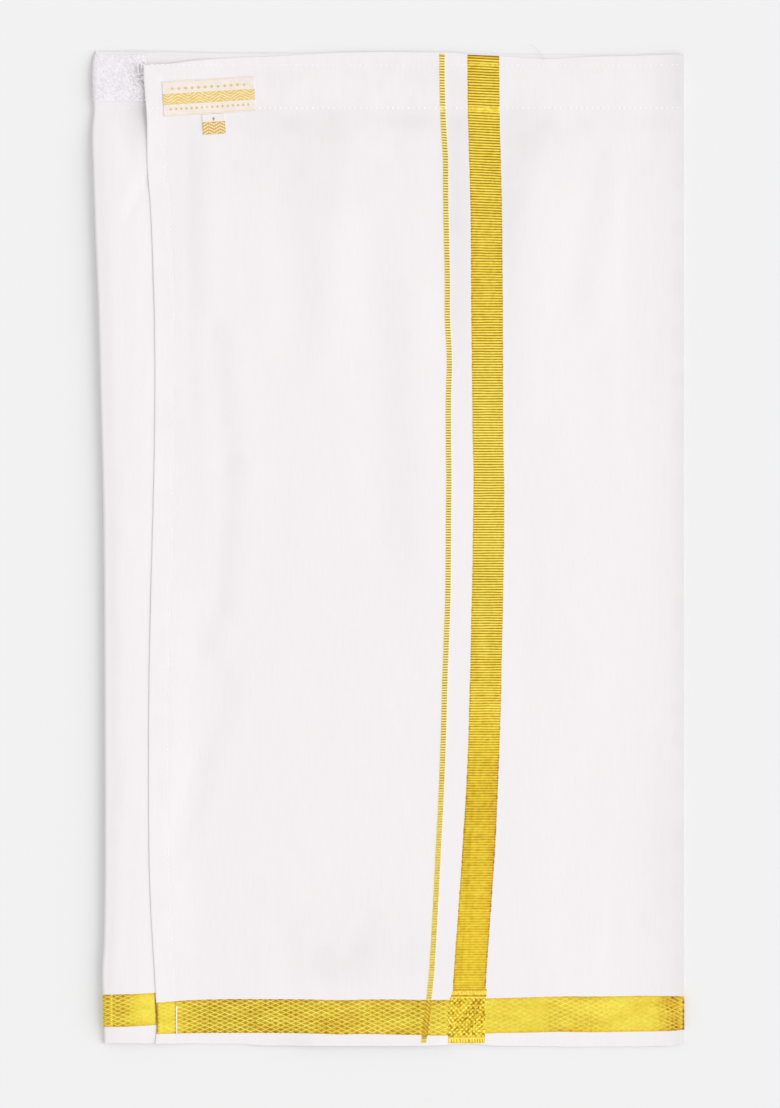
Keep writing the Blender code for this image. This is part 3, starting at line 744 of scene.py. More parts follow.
ZARI_STOPS = [
    (0.0, linear(98, 70, 4)), (0.25, linear(168, 132, 12)), (0.5, linear(224, 190, 34)),
    (0.75, linear(248, 222, 66)), (1.0, linear(255, 246, 138)),
]
BORDER_STOPS = [
    (0.0, linear(100, 68, 8)), (0.25, linear(160, 122, 20)), (0.45, linear(202, 168, 42)),
    (0.68, linear(232, 210, 62)), (0.84, linear(246, 231, 92)), (1.0, linear(255, 247, 158)),
]
LINE_STOPS = [
    (0.0, linear(128, 100, 38)), (0.25, linear(178, 150, 66)), (0.5, linear(222, 200, 97)),
    (0.75, linear(243, 226, 128)), (1.0, linear(255, 249, 188)),
]
WARM = (1.0, 0.83, 0.72, 1.0)  # what warm yarn leaves of the colour: a little orange


def zari(name, stops=ZARI_STOPS, roughness=0.42):
    """Gold yarn: each point's own tone, and the twist of its fine threads."""
    material, tree, shader = new_material(name, roughness, metallic=0.25, specular=0.35)
    colour = ramp_node(tree, point_value(tree, "tone"), stops)
    tree.links.new(multiplied(tree, point_value(tree, "warm"), colour, WARM),
                   shader.inputs["Base Color"])
    bump_node(tree, shader, weave_height(tree, ZARI_PITCH), 0.4, 0.04)
    return material


def thread(name, colour, roughness=0.7):
    """Sewing thread, with its twist as fine bands."""
    material, tree, shader = new_material(name, roughness, sheen=0.1)
    twist = new_node(tree, "TexWave", {"Scale": BAND_A_UNIT, "Vector": place_node(tree, TWIST)},
                     bands_direction="DIAGONAL").outputs["Fac"]
    shade = tuple(v * TWIST_SHADE for v in colour[:3]) + (1.0,)
    both = ramp_node(tree, twist, [(0.2, shade), (0.8, colour)])
    # painted shade from the piece's own points darkens the thread's colour
    tree.links.new(with_painted_shade(tree, both), shader.inputs["Base Color"])
    bump_node(tree, shader, twist, 0.3, 0.05)
    return material


def toned(name, stops):
    """A woven satin trim: each point's own tone gives its yarn's colour."""
    material, tree, shader = new_material(name, 0.5, sheen=0.1)
    tree.links.new(ramp_node(tree, point_value(tree, "tone"), stops),
                   shader.inputs["Base Color"])
    bump_node(tree, shader, weave_height(tree, SATIN_PITCH), 0.4, 0.05)
    return material


COTTON = cotton("dhoti_cotton", linear(238, 234, 235), linear(235, 231, 232))
# The layers below are the same cotton, painted a little darker: painted shade.
COTTON_STRIP = cotton("dhoti_cotton_strip", linear(236, 232, 233), linear(233, 229, 230))
ZARI = zari("zari_gold")
ZARI_BORDER = zari("zari_border_gold", BORDER_STOPS, 0.5)
ZARI_LINE = zari("zari_line_gold", LINE_STOPS, 0.5)
SEWING = thread("sewing_thread", linear(254, 252, 253))
CREAM = thread("cream_thread", linear(250, 232, 150))
PILE_YARN = thread("pile_yarn", linear(245, 241, 245), roughness=0.9)
# A shaded copy of the white thread: painted shade, at the frayed corner and on the loose end.
SHADED_THREAD = thread("shaded_thread", linear(218, 213, 220))
LABEL_SATIN = toned("label_satin", [
    (0.0, linear(239, 230, 225)), (0.3, linear(233, 219, 202)), (0.45, linear(220, 194, 140)),
    (0.6, linear(216, 184, 112)), (0.8, linear(236, 208, 138)), (1.0, linear(250, 234, 184)),
])
TAB_SATIN = toned("tab_satin", [
    (0.0, linear(239, 233, 232)), (0.2, linear(233, 224, 218)), (0.35, linear(158, 126, 80)),
    (0.55, linear(199, 160, 96)), (0.8, linear(236, 205, 134)), (1.0, linear(252, 237, 182)),
])


# ---- the cloth
FLAP_COLUMNS = 150
BEND_COLUMNS = 14
SIDE_STATIONS = np.array([0.0, 0.2, 0.5, 0.9, 1.4, 2.1, 3.0, 4.2, 5.6, 7.0, 8.4, 9.4, 10.2,
                          10.9, 11.4, 12.0, 12.8, 14.0, 15.5, 17.0])
WAIST_SHARES = np.array([1.0, 0.996, 0.988, 0.976, 0.958, 0.93, 0.87, 0.80, 0.72, 0.64, 0.55,
                         0.45, 0.35, 0.26, 0.17, 0.08])
WAIST_FALL = np.array([267.5, 266.7, 265.9, 265.3, 264.8, 264.3, 263.8, 263.2, 262.5, 261.5,
                       260.2, 258.5])
BODY_ROWS = 195
FLOOR_SHARES = np.array([0.33, 0.66, 1.0])
BOTTOM_SHARES = np.array([0.12, 0.26, 0.40, 0.54, 0.68, 0.82, 0.92, 0.965, 0.98, 0.99, 0.997,
                          1.0])
UNDER_STEPS = np.array([0.0, 0.12, 0.35, 0.7, 1.15, 1.7, 2.4, 4.0])


def add_cloth(name, outer, inner, inset, cotton_look, painted_shade_at, border_from):
    """A sheet of cloth, with zari where its border goes on below."""
    points, faces = shell(outer, inner, inset)
    return add_piece(name, points, faces, [cotton_look, ZARI],
                     values={"tone": np.full(len(points), HIDDEN_ZARI_TONE),
                             "painted_shade": painted_shade_at(points[:, 0], points[:, 1])},
                     places=border_faces(points, faces, border_from))


def body_rows():
    return np.concatenate([WAIST_FALL,
                           np.linspace(WAIST_FALL[-1], HEM_LOWEST_ROW, BODY_ROWS + 1)[1:]])


def flap_row_y(x, inset):
    """y of every row of the outer flap at x; x has a row's values along its columns."""
    waist = edge_at(WAIST_EDGE, x) - inset
    bottom = edge_at(BOTTOM_EDGE, x) + inset
    first = len(WAIST_SHARES)
    body = body_rows()
    y = np.empty_like(x)
    y[:first] = HEM_TOP + WAIST_SHARES[:, None] * (waist[:first] - HEM_TOP)
    y[first:first + len(body)] = body[:, None]
    lowest = slice(first + len(body), None)
    y[lowest] = HEM_LOWEST_ROW + BOTTOM_SHARES[:, None] * (bottom[lowest] - HEM_LOWEST_ROW)
    return y


def outer_flap():
    """The front flap on top, from its free edge round the right fold to the floor."""
    rows = len(WAIST_SHARES) + len(body_rows()) + len(BOTTOM_SHARES)
    inset = EDGE_ROUND * FLAP_WALL
    bend_x = RIGHT_FOLD - FOLD_BEND
    left = flap_row_y(np.full((rows, 1), FREE_EDGE[0][1]), inset)
    # the free edge wavers a little more than its stations say
    free_x = edge_at(FREE_EDGE, left) + inset + rough(FREE_EDGE_WAVER, 0.0 * left, left)
    side = free_x + SIDE_STATIONS[None, :]
    shares = np.linspace(0.0, 1.0, FLAP_COLUMNS + 1)[None, 1:]
    top = np.concatenate([side, mix(side[:, -1:], bend_x, shares)], axis=1)
    top_y = flap_row_y(top, inset)
    top_y = top_y + edge_waver(top_y, top)
    top_z = flap_top(top, top_y)
    wall = flap_wall(top, top_y)
    outer = points_at(top, top_y, top_z)
    inner = points_at(top, top_y, top_z + flap_fall(top, top_y) - wall)
    # round the bend, and back along the floor
    past = np.linspace(0.0, FOLD_TURN, BEND_COLUMNS + 1)[1:]
    flat = bend_x - FOLD_UNDERCUT - TURNED_END
    past = np.concatenate([past, FOLD_TURN + flat * FLOOR_SHARES])
    run = bend_x + past[None] + 0.0 * left
    turned_x = flap_place(run, 0.0 * run)[..., 0]
    run_y = flap_row_y(turned_x, inset)
    run_y = run_y + edge_waver(run_y, turned_x)
    outer = np.concatenate([outer, flap_place(run, run_y)], axis=1)
    inner = np.concatenate([inner, flap_place(run, run_y, -wall[:, -1:])], axis=1)
    piece = add_cloth("outer_flap_cloth", outer, inner, inset, COTTON, painted_shade,
                      TURNED_END - 1.0)
    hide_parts("outer_flap")
    return piece


def spots(places, x, y):
    """Soft round places, added up: rows of x and y, the reach along each, and a share."""
    return sum(share * np.exp(-((x - at_x) / reach_x) ** 2 - ((y - at_y) / reach_y) ** 2)
               for at_x, at_y, reach_x, reach_y, share in places)


def strip_painted_shade(x, y):
    return spots(STRIP_PAINTED_SHADE, x, y)


def painted_shade(x, y):
    """How far painted shade darkens the outer flap at each place, from 0 to 1."""
    share = FOLD_PAINTED_SHADE * smoothstep(*FOLD_PAINTED_SHADE_REACH, RIGHT_FOLD - x)
    share = share + RIM_PAINTED_SHADE * smoothstep(*RIM_PAINTED_SHADE_REACH, RIGHT_FOLD - x)
    from_edge = x - edge_at(FREE_EDGE, y) - EDGE_PAINTED_SHADE_AT
    share = share + EDGE_PAINTED_SHADE * bell(from_edge, EDGE_PAINTED_SHADE_REACH)
    share = share + spots(PAINTED_SHADE_SPOTS, x, y)
    return np.clip(share * (1.0 + PAINTED_SHADE_UNEVEN * noise(x, y, 11.0, 9.0, 15)), 0.0, 1.0)


def edge_waver(y, x):
    """A little unevenness along the waist and the bottom edges."""
    near = smoothstep(*WAIST_WAVERS, y) + smoothstep(*BOTTOM_WAVERS, y)
    return near * rough(EDGE_WAVER, x, 0.0 * x)


def border_faces(points, faces, left_x):
    """1 for the faces that the zari border covers below and round a fold, 0 for the others."""
    x, y, z = np.asarray(points)[np.asarray(faces)].mean(axis=1).T
    low = z < 0.02
    low |= (x < edge_at(LEFT_FOLD, y) + NOSE_FOOT) & (z < nose_middle(y))
    low |= (x > RIGHT_FOLD - FOLD_UNDERCUT - 0.5) & (z < 0.5 * flap_top(x, y))
    banded = (y < BORDER_ABOUT[0]) & (y > BORDER_ABOUT[1]) & (x > left_x)
    return (low & banded).astype(int)


def under_layers():
    """The back panel and the inner flap: one cloth, folded over at the left fold."""
    inset = EDGE_ROUND * LAYER_WALL
    highest, lowest = UNDER_WAIST - inset, UNDER_BOTTOM + inset
    body = np.concatenate([highest - UNDER_STEPS[:-1],
                           np.linspace(highest - UNDER_STEPS[-1], WAIST_FALL[0], 12)[:-1],
                           body_rows(),
                           np.linspace(HEM_LOWEST_ROW, lowest + UNDER_STEPS[-1], 9)[1:],
                           lowest + UNDER_STEPS[-2::-1]])
    y = body[:, None]
    fold_x = edge_at(LEFT_FOLD, y)
    middle = nose_middle(y)
    hems = LAYER_HEM * waist_hem(y)

    def wall_at(x):
        return (LAYER_WALL + hems) * stack_top(x, y) / (STACK + 2.0 * hems)

    # the strip, as far as the fold's tip
    hidden = np.linspace(STACK_END, STRIP_FROM, 12)[None] + 0.0 * y
    strip = mix(STRIP_FROM, fold_x + NOSE_TOP, np.linspace(0.0, 1.0, 34)[None, 1:])
    nose = fold_x + NOSE_TOP * (1.0 - np.sin(NOSE_ANGLES))
    above = np.concatenate([hidden, strip, nose], axis=1)
    wall = wall_at(above)
    outer = strip_place(above, y)
    lean = 1.0 - np.clip((above - fold_x) / NOSE_TOP, 0.0, 1.0)
    inner_z = outer[..., 2] - np.maximum(wall - under_fall(y), THINNEST) * nose_share(lean)
    inner = points_at(above + wall * lean ** 3, y, inner_z)
    # round the fold's foot, and back along the floor
    wall = wall[:, -1:]
    out, down = 1.0 - np.cos(FOOT_ANGLES), np.sin(FOOT_ANGLES)
    floor_x = mix(fold_x + NOSE_FOOT, STACK_END, np.linspace(0.0, 1.0, 15)[None, 1:])
    foot_in_x = fold_x + wall + np.maximum(NOSE_FOOT - wall, THINNEST) * out
    foot_in_z = middle - np.maximum(middle - wall, 0.05) * down
    below = [np.concatenate([foot, floor], axis=1) for foot, floor in (
        (fold_x + NOSE_FOOT * out, floor_x), (middle * (1.0 - down), 0.0 * floor_x),
        (foot_in_x, floor_x), (foot_in_z, wall_at(floor_x)))]
    outer = np.concatenate([outer, points_at(below[0], y, below[1])], axis=1)
    inner = np.concatenate([inner, points_at(below[2], y, below[3])], axis=1)
    # the upper layer stands back from the lower one, and each edge has its own waver
    columns = np.arange(outer.shape[1])
    upper = 1.0 - smoothstep(above.shape[1] - 7, above.shape[1] + 3, columns)[None]
    near_waist = smoothstep(UNDER_WAVER_FROM[0], UNDER_WAIST, y)
    near_bottom = smoothstep(UNDER_WAVER_FROM[1], UNDER_BOTTOM, y)
    for grid in (outer, inner):
        x = grid[..., 0]
        over = np.maximum(grid[..., 1] - HEM_TOP, 0.0)
        grid[..., 1] -= over * (UNDER_WAIST - edge_at(UNDER_EDGE, x)) / (UNDER_WAIST - HEM_TOP)
        wave = mix(noise(x, 0.0 * x, 19.0, 1.0, 41), noise(x, 0.0 * x, 23.0, 1.0, 42), upper)
        grid[..., 1] += (UNDER_WAVER * wave - LAYER_STEP * upper) * near_waist
        grid[..., 1] += (UNDER_WAVER * wave + LAYER_STEP * upper) * near_bottom
    piece = add_cloth("under_layers_cloth", outer, inner, inset, COTTON_STRIP, strip_painted_shade,
                      -math.inf)
    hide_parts("folded_layers")
    return piece


# ---- zari bands
def raised_band(name, place, x, y, lift, tone, warm, side_tone, material):
    """A band woven into the cloth: its relief, a flat underside, and each point's tones."""
    ends = [-1, 0]
    foot = place(x[:, ends], y[:, ends], -ZARI_BASE)
    points, faces = loft(np.concatenate([place(x, y, lift), foot], axis=1))
    sides = np.full((len(x), 2), side_tone)
    values = {key: np.clip(np.concatenate([value, sides], axis=1), 0.0, 1.0)
              for key, value in (("tone", tone), ("warm", warm))}
    return add_piece(name, points, faces, [material], values=values)


def rib_phase(y):
    """Ribs counted from the bottom, at each y."""
    stations = np.linspace(RIB_PITCHES[0][0], RIB_PITCHES[-1][0], 1201)
    pitch = level(RIB_PITCHES, stations)
    count = np.concatenate([[0.0], np.cumsum(np.diff(stations) / pitch[1:])])
    return np.interp(y, stations, count)


def rib_rows(low, high, per_rib):
    """y of each row of points, a few to every rib."""
    stations = np.linspace(low, high, 6001)
    phase = rib_phase(stations)
    wanted = np.arange(np.ceil(phase[0] * per_rib), np.floor(phase[-1] * per_rib) + 1) / per_rib
    return np.interp(wanted, phase, stations), wanted


def rib_shape(phase):
    """0 in the groove between two ribs, 1 on a rib."""
    return (0.5 - 0.5 * np.cos(TURN * phase)) ** 0.7


def ribbed(name, middle, widths, low, high, columns, seed, look, material=ZARI):
    """A ribbed zari band that runs down the outer flap, a relief woven into it.

    look has its tone and how warm it is: functions of the share across it, of y and of
    the ribs' shape.
    """
    y, phase = rib_rows(low, high, ROWS_A_RIB)
    y, phase = y[:, None], phase[:, None]
    width = level(widths, y)
    even = np.linspace(-0.5, 0.5, columns)[None]
    across = mix(even, 0.5 * np.sin(math.pi * even), 0.6)
    rib = np.floor(phase).astype(int)
    each = np.random.default_rng(seed).uniform(-1.0, 1.0, rib.max() + 2)[rib]
    shape = rib_shape(phase)
    at_edge = np.abs(across) > 0.49
    x = edge_at(middle, y) + across * width + RIB_END_WAVER * each * np.sign(across) * at_edge
    fade = smoothstep(low, low + 6.0, y) * smoothstep(high, high - 1.0, y)
    sway = 0.10 * noise(x, y, 7.0, 3.0, seed + 3) * fade
    flecks = noise(across * width, phase, 1.4, 0.9, seed + 1)
    tone, warm = look(across, y, shape, each, flecks)
    # the cream stitches' rows, and a darker, warmer waist edge
    seam = bell(y - HEM_LINE + 0.8, 1.4) + 0.7 * bell(y - EDGE_LINE, 0.9)
    at_waist = smoothstep(high - 2.4, high - 1.4, y)
    tone = mix(tone, 0.80 + 0.22 * flecks, 0.75 * seam) - 0.20 * at_waist
    lift = ZARI_PROUD + RIB * shape * (1.0 + 0.25 * each) * (1.0 - 0.6 * at_edge)
    drop = level(RIB_SLANT, y) * across * width / level(STRIPE_WIDTHS, y)
    return raised_band(name, flap_place, x, y - drop + sway, lift, tone, warm + 0.45 * at_waist,
                       0.2, material)


def stripe_look(across, y, shape, each, flecks):
    """The wide stripe: ribs, a few darker warp lines, and orange yarn towards its edges."""
    share = across + 0.5
    shows = level(RIBS_SHOW, y)
    lines = sum(depth * bell(share - at, 0.02) for at, depth in WARP_LINES)
    # darker in the grooves between ribs, lighter on them: partly the yarn's own gaps, partly
    # painted shade
    tone = level(STRIPE_TONE, y) + 0.80 * shows * (shape - 0.51) + 0.04 * each
    tone = tone + 0.09 * flecks - lines * (1.3 - shows)
    tone = tone - 0.25 * np.maximum(each, 0.0) * smoothstep(0.455, 0.485, np.abs(across))
    along = across * STRIPE_WIDEST
    tone = tone + 0.04 * noise(along, y, 6.0, 25.0, 221)
    sides = (level(WARM_LEFT, y) * smoothstep(0.36, 0.02, share)
             + level(WARM_RIGHT, y) * smoothstep(0.70, 0.97, share))
    streaks = 0.5 + 0.5 * noise(along, y, 2.2, 9.0, 222)
    return tone, np.clip(sides * (0.6 + 0.6 * streaks) + 0.18 * streaks, 0.0, 1.0)


def line_look(across, y, shape, each, flecks):
    """The thin line: dark ticks down a tan middle, between two clear yellow edges."""
    ticks = mix(0.35, 1.0, smoothstep(-175.0, -95.0, y))
    tone = 0.52 + 1.05 * ticks * (shape - 0.55) + 0.05 * each + 0.08 * flecks
    at_edge = smoothstep(0.41, 0.49, np.abs(across))
    return mix(tone, 0.93 + 0.05 * flecks, at_edge), 0.22 * ticks * (1.0 - at_edge)


def lattice_tone(x, y, shows, seed):
    """Tone and height of the border's small diamonds, and of its smooth stretches."""
    sway = 0.07 * noise(x, y, 24.0, 9.0, seed)
    a = x / LATTICE_X + y / LATTICE_Y + sway
    b = x / LATTICE_X - y / LATTICE_Y - sway
    ridge = np.maximum(*(np.abs(2.0 * (c - np.floor(c)) - 1.0) for c in (a, b)))
    lines = smoothstep(0.75, 0.97, ridge)
    middle = smoothstep(0.85, 0.35, ridge)
    flecks = noise(x, y, 0.9, 0.5, seed + 1)
    patch = noise(x, y, 11.0, 3.5, seed + 2)
    drawn = 0.48 + 0.44 * lines - 0.13 * middle + 0.11 * flecks + 0.07 * patch
    smooth = 0.735 + 0.07 * flecks + 0.05 * patch
    return mix(smooth, drawn, shows), lines * shows


def border(name, place, high, low, shows_at, ends, columns, rows, seed, extra):
    """A zari border along the bottom, with its lattice as a low relief.

    ends gives x of its two ends at each y, and extra adds what is the band's own.
    """
    run = np.linspace(0.0, 1.0, rows)[None]
    start, end = ends(mix(high[0][1], low[0][1], run))
    x = mix(start, end, np.linspace(0.0, 1.0, columns)[:, None])
    fray = 0.10 * noise(x, 0.0 * x, 0.8, 1.0, seed + 5)
    y = mix(edge_at(high, x) + fray, edge_at(low, x) - fray, run)
    down = run * BORDER_WIDTH
    tone, lines = lattice_tone(x, down, level(shows_at, x), seed)
    from_edge = np.minimum(run, 1.0 - run) * BORDER_WIDTH
    margin = bell(from_edge, 0.9)
    warm = 0.55 * bell(from_edge, 1.8) + 0.10 + 0.30 * noise(x, down, 9.0, 4.0, seed + 7)
    tone, warm = extra(tone - 0.10 * margin, warm, x, y)
    grain = 0.03 * noise(x, y, 1.5, 1.0, seed + 3) * (1.0 - margin)
    lift = ZARI_PROUD + LATTICE_RELIEF * lines * (1.0 - margin) + grain
    return raised_band(name, place, x, y, lift, tone, warm, 0.3, ZARI_BORDER)


def outer_ends(y):
    return edge_at(FREE_EDGE, y) + 0.25, BORDER_END + 0.0 * y


def outer_marks(tone, warm, x, y):
    """The outer border's marks at its two ends and where the thin line crosses it, with painted
    shade along the free edge, beside the side hem's thread and on the rim at the right fold.
    """
    from_edge = x - edge_at(FREE_EDGE, y)
    # painted shade along the free edge and beside the side hem's stitches
    tone = tone - (0.42 + 0.14 * noise(x, y, 1.0, 1.1, 211)) * bell(from_edge, 1.0)
    tone = tone - 0.16 * bell(from_edge - SIDE_LINE - 0.2, 0.6)
    for k, (at, depth) in enumerate(END_MARKS):
        bent = x - at - 0.7 * noise(0.0 * y, y, 1.0, 3.0, 212)
        turns = (y + 0.14 * x) / DASH_PITCH + 0.37 * k
        dashes = smoothstep(-0.5, 0.7, np.sin(TURN * turns))
        dashes = dashes * (0.75 + 0.5 * noise(x, y, 2.0, 1.6, 213))
        near = bell(bent, 0.95)
        tone = tone - depth * dashes * near
        warm = warm + 0.5 * near
    # painted shade on the rim where the border turns round the right fold
    rim_shade = smoothstep(RIGHT_FOLD - 1.6, RIGHT_FOLD - 0.8, x)
    tone = mix(tone, 0.34 + 0.45 * noise(x, y, 0.8, 1.1, 214), 0.8 * rim_shade)
    warm = warm + 0.5 * rim_shade
    off = x - edge_at(LINE, y)
    crossed = smoothstep(LINE_WIDTH / 2.0 + 0.3, LINE_WIDTH / 2.0 - 0.1, np.abs(off))
    line = 0.52 - 0.10 * smoothstep(0.7, 1.3, np.abs(off))
    line = line + 0.17 * np.cos(TURN * (y + 0.9 * off) / 2.3)
    line = line + 0.10 * noise(x, y, 1.2, 1.2, 216) - 0.08 * smoothstep(-283.0, -289.0, y)
    return mix(tone, line, 0.9 * crossed), mix(warm, 0.5, crossed)


def inner_ends(y):
    return edge_at(LEFT_FOLD, y) + 0.05, edge_at(FREE_EDGE, y) + 0.8


def inner_marks(tone, warm, x, y):
    """The inner border's painted highlight along a pressed crease, and its painted shade beside
    the outer flap.
    """
    tone = mix(tone, 0.92, 0.8 * bell(x - CREASE_HIGHLIGHT_X, 0.45))
    from_edge = edge_at(FREE_EDGE, y) - x
    shade = (0.45 + 0.15 * noise(x, y, 1.0, 1.2, 214)) * smoothstep(1.3, 0.4, from_edge)
    return tone - shade, warm


def crossing():
    """Where the wide stripe crosses the border: a dense bright check between pale bands."""
    y = np.linspace(CROSSING_TOP, CROSSING_FOOT, 150)[:, None]
    across = np.linspace(0.0, 1.0, 100)[None]
    x = mix(edge_at(CROSSING_LEFT, y), edge_at(CROSSING_RIGHT, y), across)
    y = np.broadcast_to(y, x.shape)
    u, v = (np.cos(TURN * (turn_x * x + turn_y * y + 0.08 * noise(x, y, 5.0, 5.0, seed)))
            for (turn_x, turn_y), seed in ((CHECK_U, 73), (CHECK_V, 74)))
    flecks = noise(x, y, 0.9, 0.9, 71)
    patch = noise(x, y, 5.0, 5.0, 72)
    inside = smoothstep(*CHECK_HIGH, y) * smoothstep(*CHECK_LOW, y)
    checked = 0.545 + 0.14 * u + 0.115 * v + 0.09 * u * v + 0.29 * flecks + 0.08 * patch
    ticks = np.sin(TURN * (x + 0.15 * y) / 1.8 + 3.0 * noise(x, y, 3.0, 9.0, 75))
    at_ticks = smoothstep(-293.9, -294.5, y) * smoothstep(-296.8, -296.2, y)
    at_ticks = at_ticks + 0.35 * smoothstep(-267.9, -267.4, y) * smoothstep(-264.9, -265.4, y)
    bands = level(CROSSING_BANDS, y) + 0.12 * flecks
    bands = bands - 0.44 * smoothstep(0.0, 0.7, ticks) * at_ticks
    rim = (across < 0.01) | (across > 0.99)
    lift = ZARI_PROUD + RIB + 0.02 + 0.06 * inside * (u + v) - 0.10 * rim
    return raised_band("zari_crossing", flap_place, x, y, lift, mix(bands, checked, inside),
                       mix(0.60, 0.06, inside), 0.3, ZARI)


# ---- sewing
def capsule(length, thickness, rings=5, sides=6):
    """A stitch: its points along X, slightly bowed, its ends down in the cloth."""
    along = np.linspace(-0.5, 0.5, rings)[:, None]
    bow = (2.0 * along) ** 4
    radius = thickness / 2.0 * np.sqrt(np.maximum(1.0 - bow, 0.12))
    angles = np.arange(sides) / sides * TURN
    return loft(points_at(along * length, radius * np.cos(angles),
                          radius * np.sin(angles) - thickness * 0.9 * bow))


def stitches(name, route, pitch, length, thickness, place, out, seed, material=SEWING):
    """A row of stitches along a route of (x, y) points, laid on a surface."""
    runs = np.concatenate([[0.0], np.cumsum(np.hypot(*np.diff(route, axis=0).T))])
    rng = np.random.default_rng(seed)
    at = np.arange(pitch / 2.0, runs[-1], pitch)
    at = at + rng.uniform(-0.06, 0.06, len(at)) * pitch
    start, end = (place(*(np.interp(at + shift * length, runs, route[:, k]) for k in (0, 1)), out)
                  for shift in (-0.5, 0.5))
    forward = unit(end - start)
    side = unit(np.cross([0.0, 0.0, 1.0], forward))
    up = np.cross(forward, side)
    forward = forward + side * rng.uniform(-0.10, 0.10, (len(at), 1))
    shows = rng.uniform(0.55, 1.1, (len(at), 1))
    axes = np.stack([forward * (0.5 + 0.5 * shows), side * shows, up * shows], axis=1)
    points, faces = many(*capsule(length, thickness), axes, (start + end) / 2.0)
    return add_piece(name, points, faces, [material])


def sewing():
    """Every row of stitches."""
    waist_x = np.linspace(-143.0, 176.0, 160)
    stripe_x = (edge_at(STRIPE, HEM_LINE)
                + level(STRIPE_WIDTHS, HEM_LINE) * np.linspace(-0.47, 0.47, 9))
    left, right = waist_x[waist_x < stripe_x[0] - 1.0], waist_x[waist_x > stripe_x[-1] + 1.0]
    rows = [
        stitches(name, np.stack([x, 0 * x + line], 1), WAIST_STITCH, length, thickness,
                 flap_place, out, seed, material)
        for name, x, line, length, thickness, out, seed, material in (
            ("waist_hem_stitches", left, HEM_LINE, 2.7, 0.52, 0.12, 51, SEWING),
            ("waist_hem_stitches_right", right, HEM_LINE, 2.7, 0.52, 0.12, 55, SEWING),
            ("waist_edge_stitches", left, EDGE_LINE, 2.5, 0.36, 0.06, 52, SEWING),
            ("waist_edge_stitches_right", right, EDGE_LINE, 2.5, 0.36, 0.06, 56, SEWING),
            ("stripe_hem_stitches", stripe_x, HEM_LINE, 2.2, 0.30, 0.22, 57, CREAM),
            ("stripe_edge_stitches", stripe_x, EDGE_LINE, 2.0, 0.24, 0.18, 58, CREAM))
    ]
    side_y = np.linspace(262.0, -269.5, 200)
    side = np.stack([edge_at(FREE_EDGE, side_y) + SIDE_LINE, side_y], 1)
    rows.append(stitches("side_hem_stitches", side, 3.0, 2.3, 0.32, flap_place, 0.06, 53))
    strip_x = np.linspace(-173.0, -146.5, 12)
    under = stitches("under_hem_stitches", np.stack([strip_x, 0 * strip_x + HEM_LINE], 1),
                     WAIST_STITCH, 2.5, 0.26, strip_place, 0.02, 54)
    return rows, under


# ---- trims
def tape_place(run, y, out):
    """A place on the loop tape: run from its end by the free edge to the left fold."""
    start_x = edge_at(LEFT_FOLD, y) + NOSE_TOP
    end_x = edge_at(FREE_EDGE, y) - TAPE_CLEAR
    past = np.maximum(run - (end_x - start_x), 0.0)
    angle = np.clip(past / (NOSE_TOP * TAPE_TURN), 0.0, 1.0) * math.pi / 2.0
    middle = nose_middle(y)
    high = strip_top(np.maximum(end_x - run, start_x), y) - middle + TAPE_GAP + out
    x = np.where(past > 0.0, start_x - (NOSE_TOP + TAPE_GAP + out) * np.sin(angle), end_x - run)
    return points_at(x, y, np.where(past > 0.0, middle + high * np.cos(angle), middle + high))


def tape_length(y):
    """From the tape's end by the free edge, round the left fold's tip."""
    flat = edge_at(FREE_EDGE, y) - TAPE_CLEAR - edge_at(LEFT_FOLD, y)
    return flat + NOSE_TOP * (TAPE_TURN - 1.0)


def tape_share(run, y):
    """The backing's share of its thickness: it thins out at its upper corner."""
    return mix(1.0, smoothstep(-1.0, 3.0, run), smoothstep(289.5, 291.5, y))


def loop_tape():
    """The pile half of the touch fastener: its backing, and the pile's small loops."""
    bulge = EDGE_ROUND * TAPE_BACKING
    y = np.linspace(TAPE_HIGH - bulge, TAPE_LOW + bulge, 36)[:, None]
    run = np.linspace(0.0, 1.0, 48)[None] * tape_length(y)
    top = TAPE_BACKING * tape_share(run, y) + 0.04 * noise(run, y, 2.6, 2.2, 61)
    outer, inner = (tape_place(run, y + 0.0 * run, out) for out in (top, 0.0 * top))
    points, faces = shell(outer, inner, bulge)
    tape = add_piece("loop_tape_backing", points, faces, [PILE_YARN])
    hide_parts("loop_tape")
    rng = np.random.default_rng(62)
    y = rng.uniform(TAPE_LOW + 0.4, TAPE_HIGH - 0.2, PILE_LOOPS)
    run = rng.uniform(0.0, 0.99, PILE_LOOPS) * tape_length(y)
    out = TAPE_BACKING * tape_share(run, y) - 0.05
    origin = tape_place(run, y, out)
    outward = unit(tape_place(run, y, out + 1.0) - origin)
    turn = rng.uniform(0.0, TURN, PILE_LOOPS)
    side = unit(np.cross(outward, points_at(np.cos(turn), np.sin(turn), 0 * turn)))
    forward = np.cross(side, outward)
    outward = outward + PILE_LEAN * side * rng.uniform(-1.0, 1.0, (PILE_LOOPS, 1))
    size = rng.uniform(0.55, 1.0, (PILE_LOOPS, 1))
    axes = np.stack([forward * size, side * size, outward * size], axis=1)
    points, faces = many(*curl(*LOOP_SIZE), axes, origin)
    # the pile carries the painted shade beside the outer flap's corner
    pile = add_piece("loop_tape_pile", points, faces, [PILE_YARN],
                     values={"painted_shade": strip_painted_shade(points[:, 0], points[:, 1])})
    return tape, pile


def curl(half_width, height, radius, rings=6, sides=3):
    """One small loop of pile yarn, up and over, in its own axes."""
    up = math.pi * np.arange(rings)[:, None] / (rings - 1)
    angles = TURN * np.arange(sides) / sides
    reach = np.cos(angles) * radius
    return loft(points_at((half_width + reach) * np.cos(up), np.sin(angles) * radius,
                          (height + reach) * np.sin(up)))


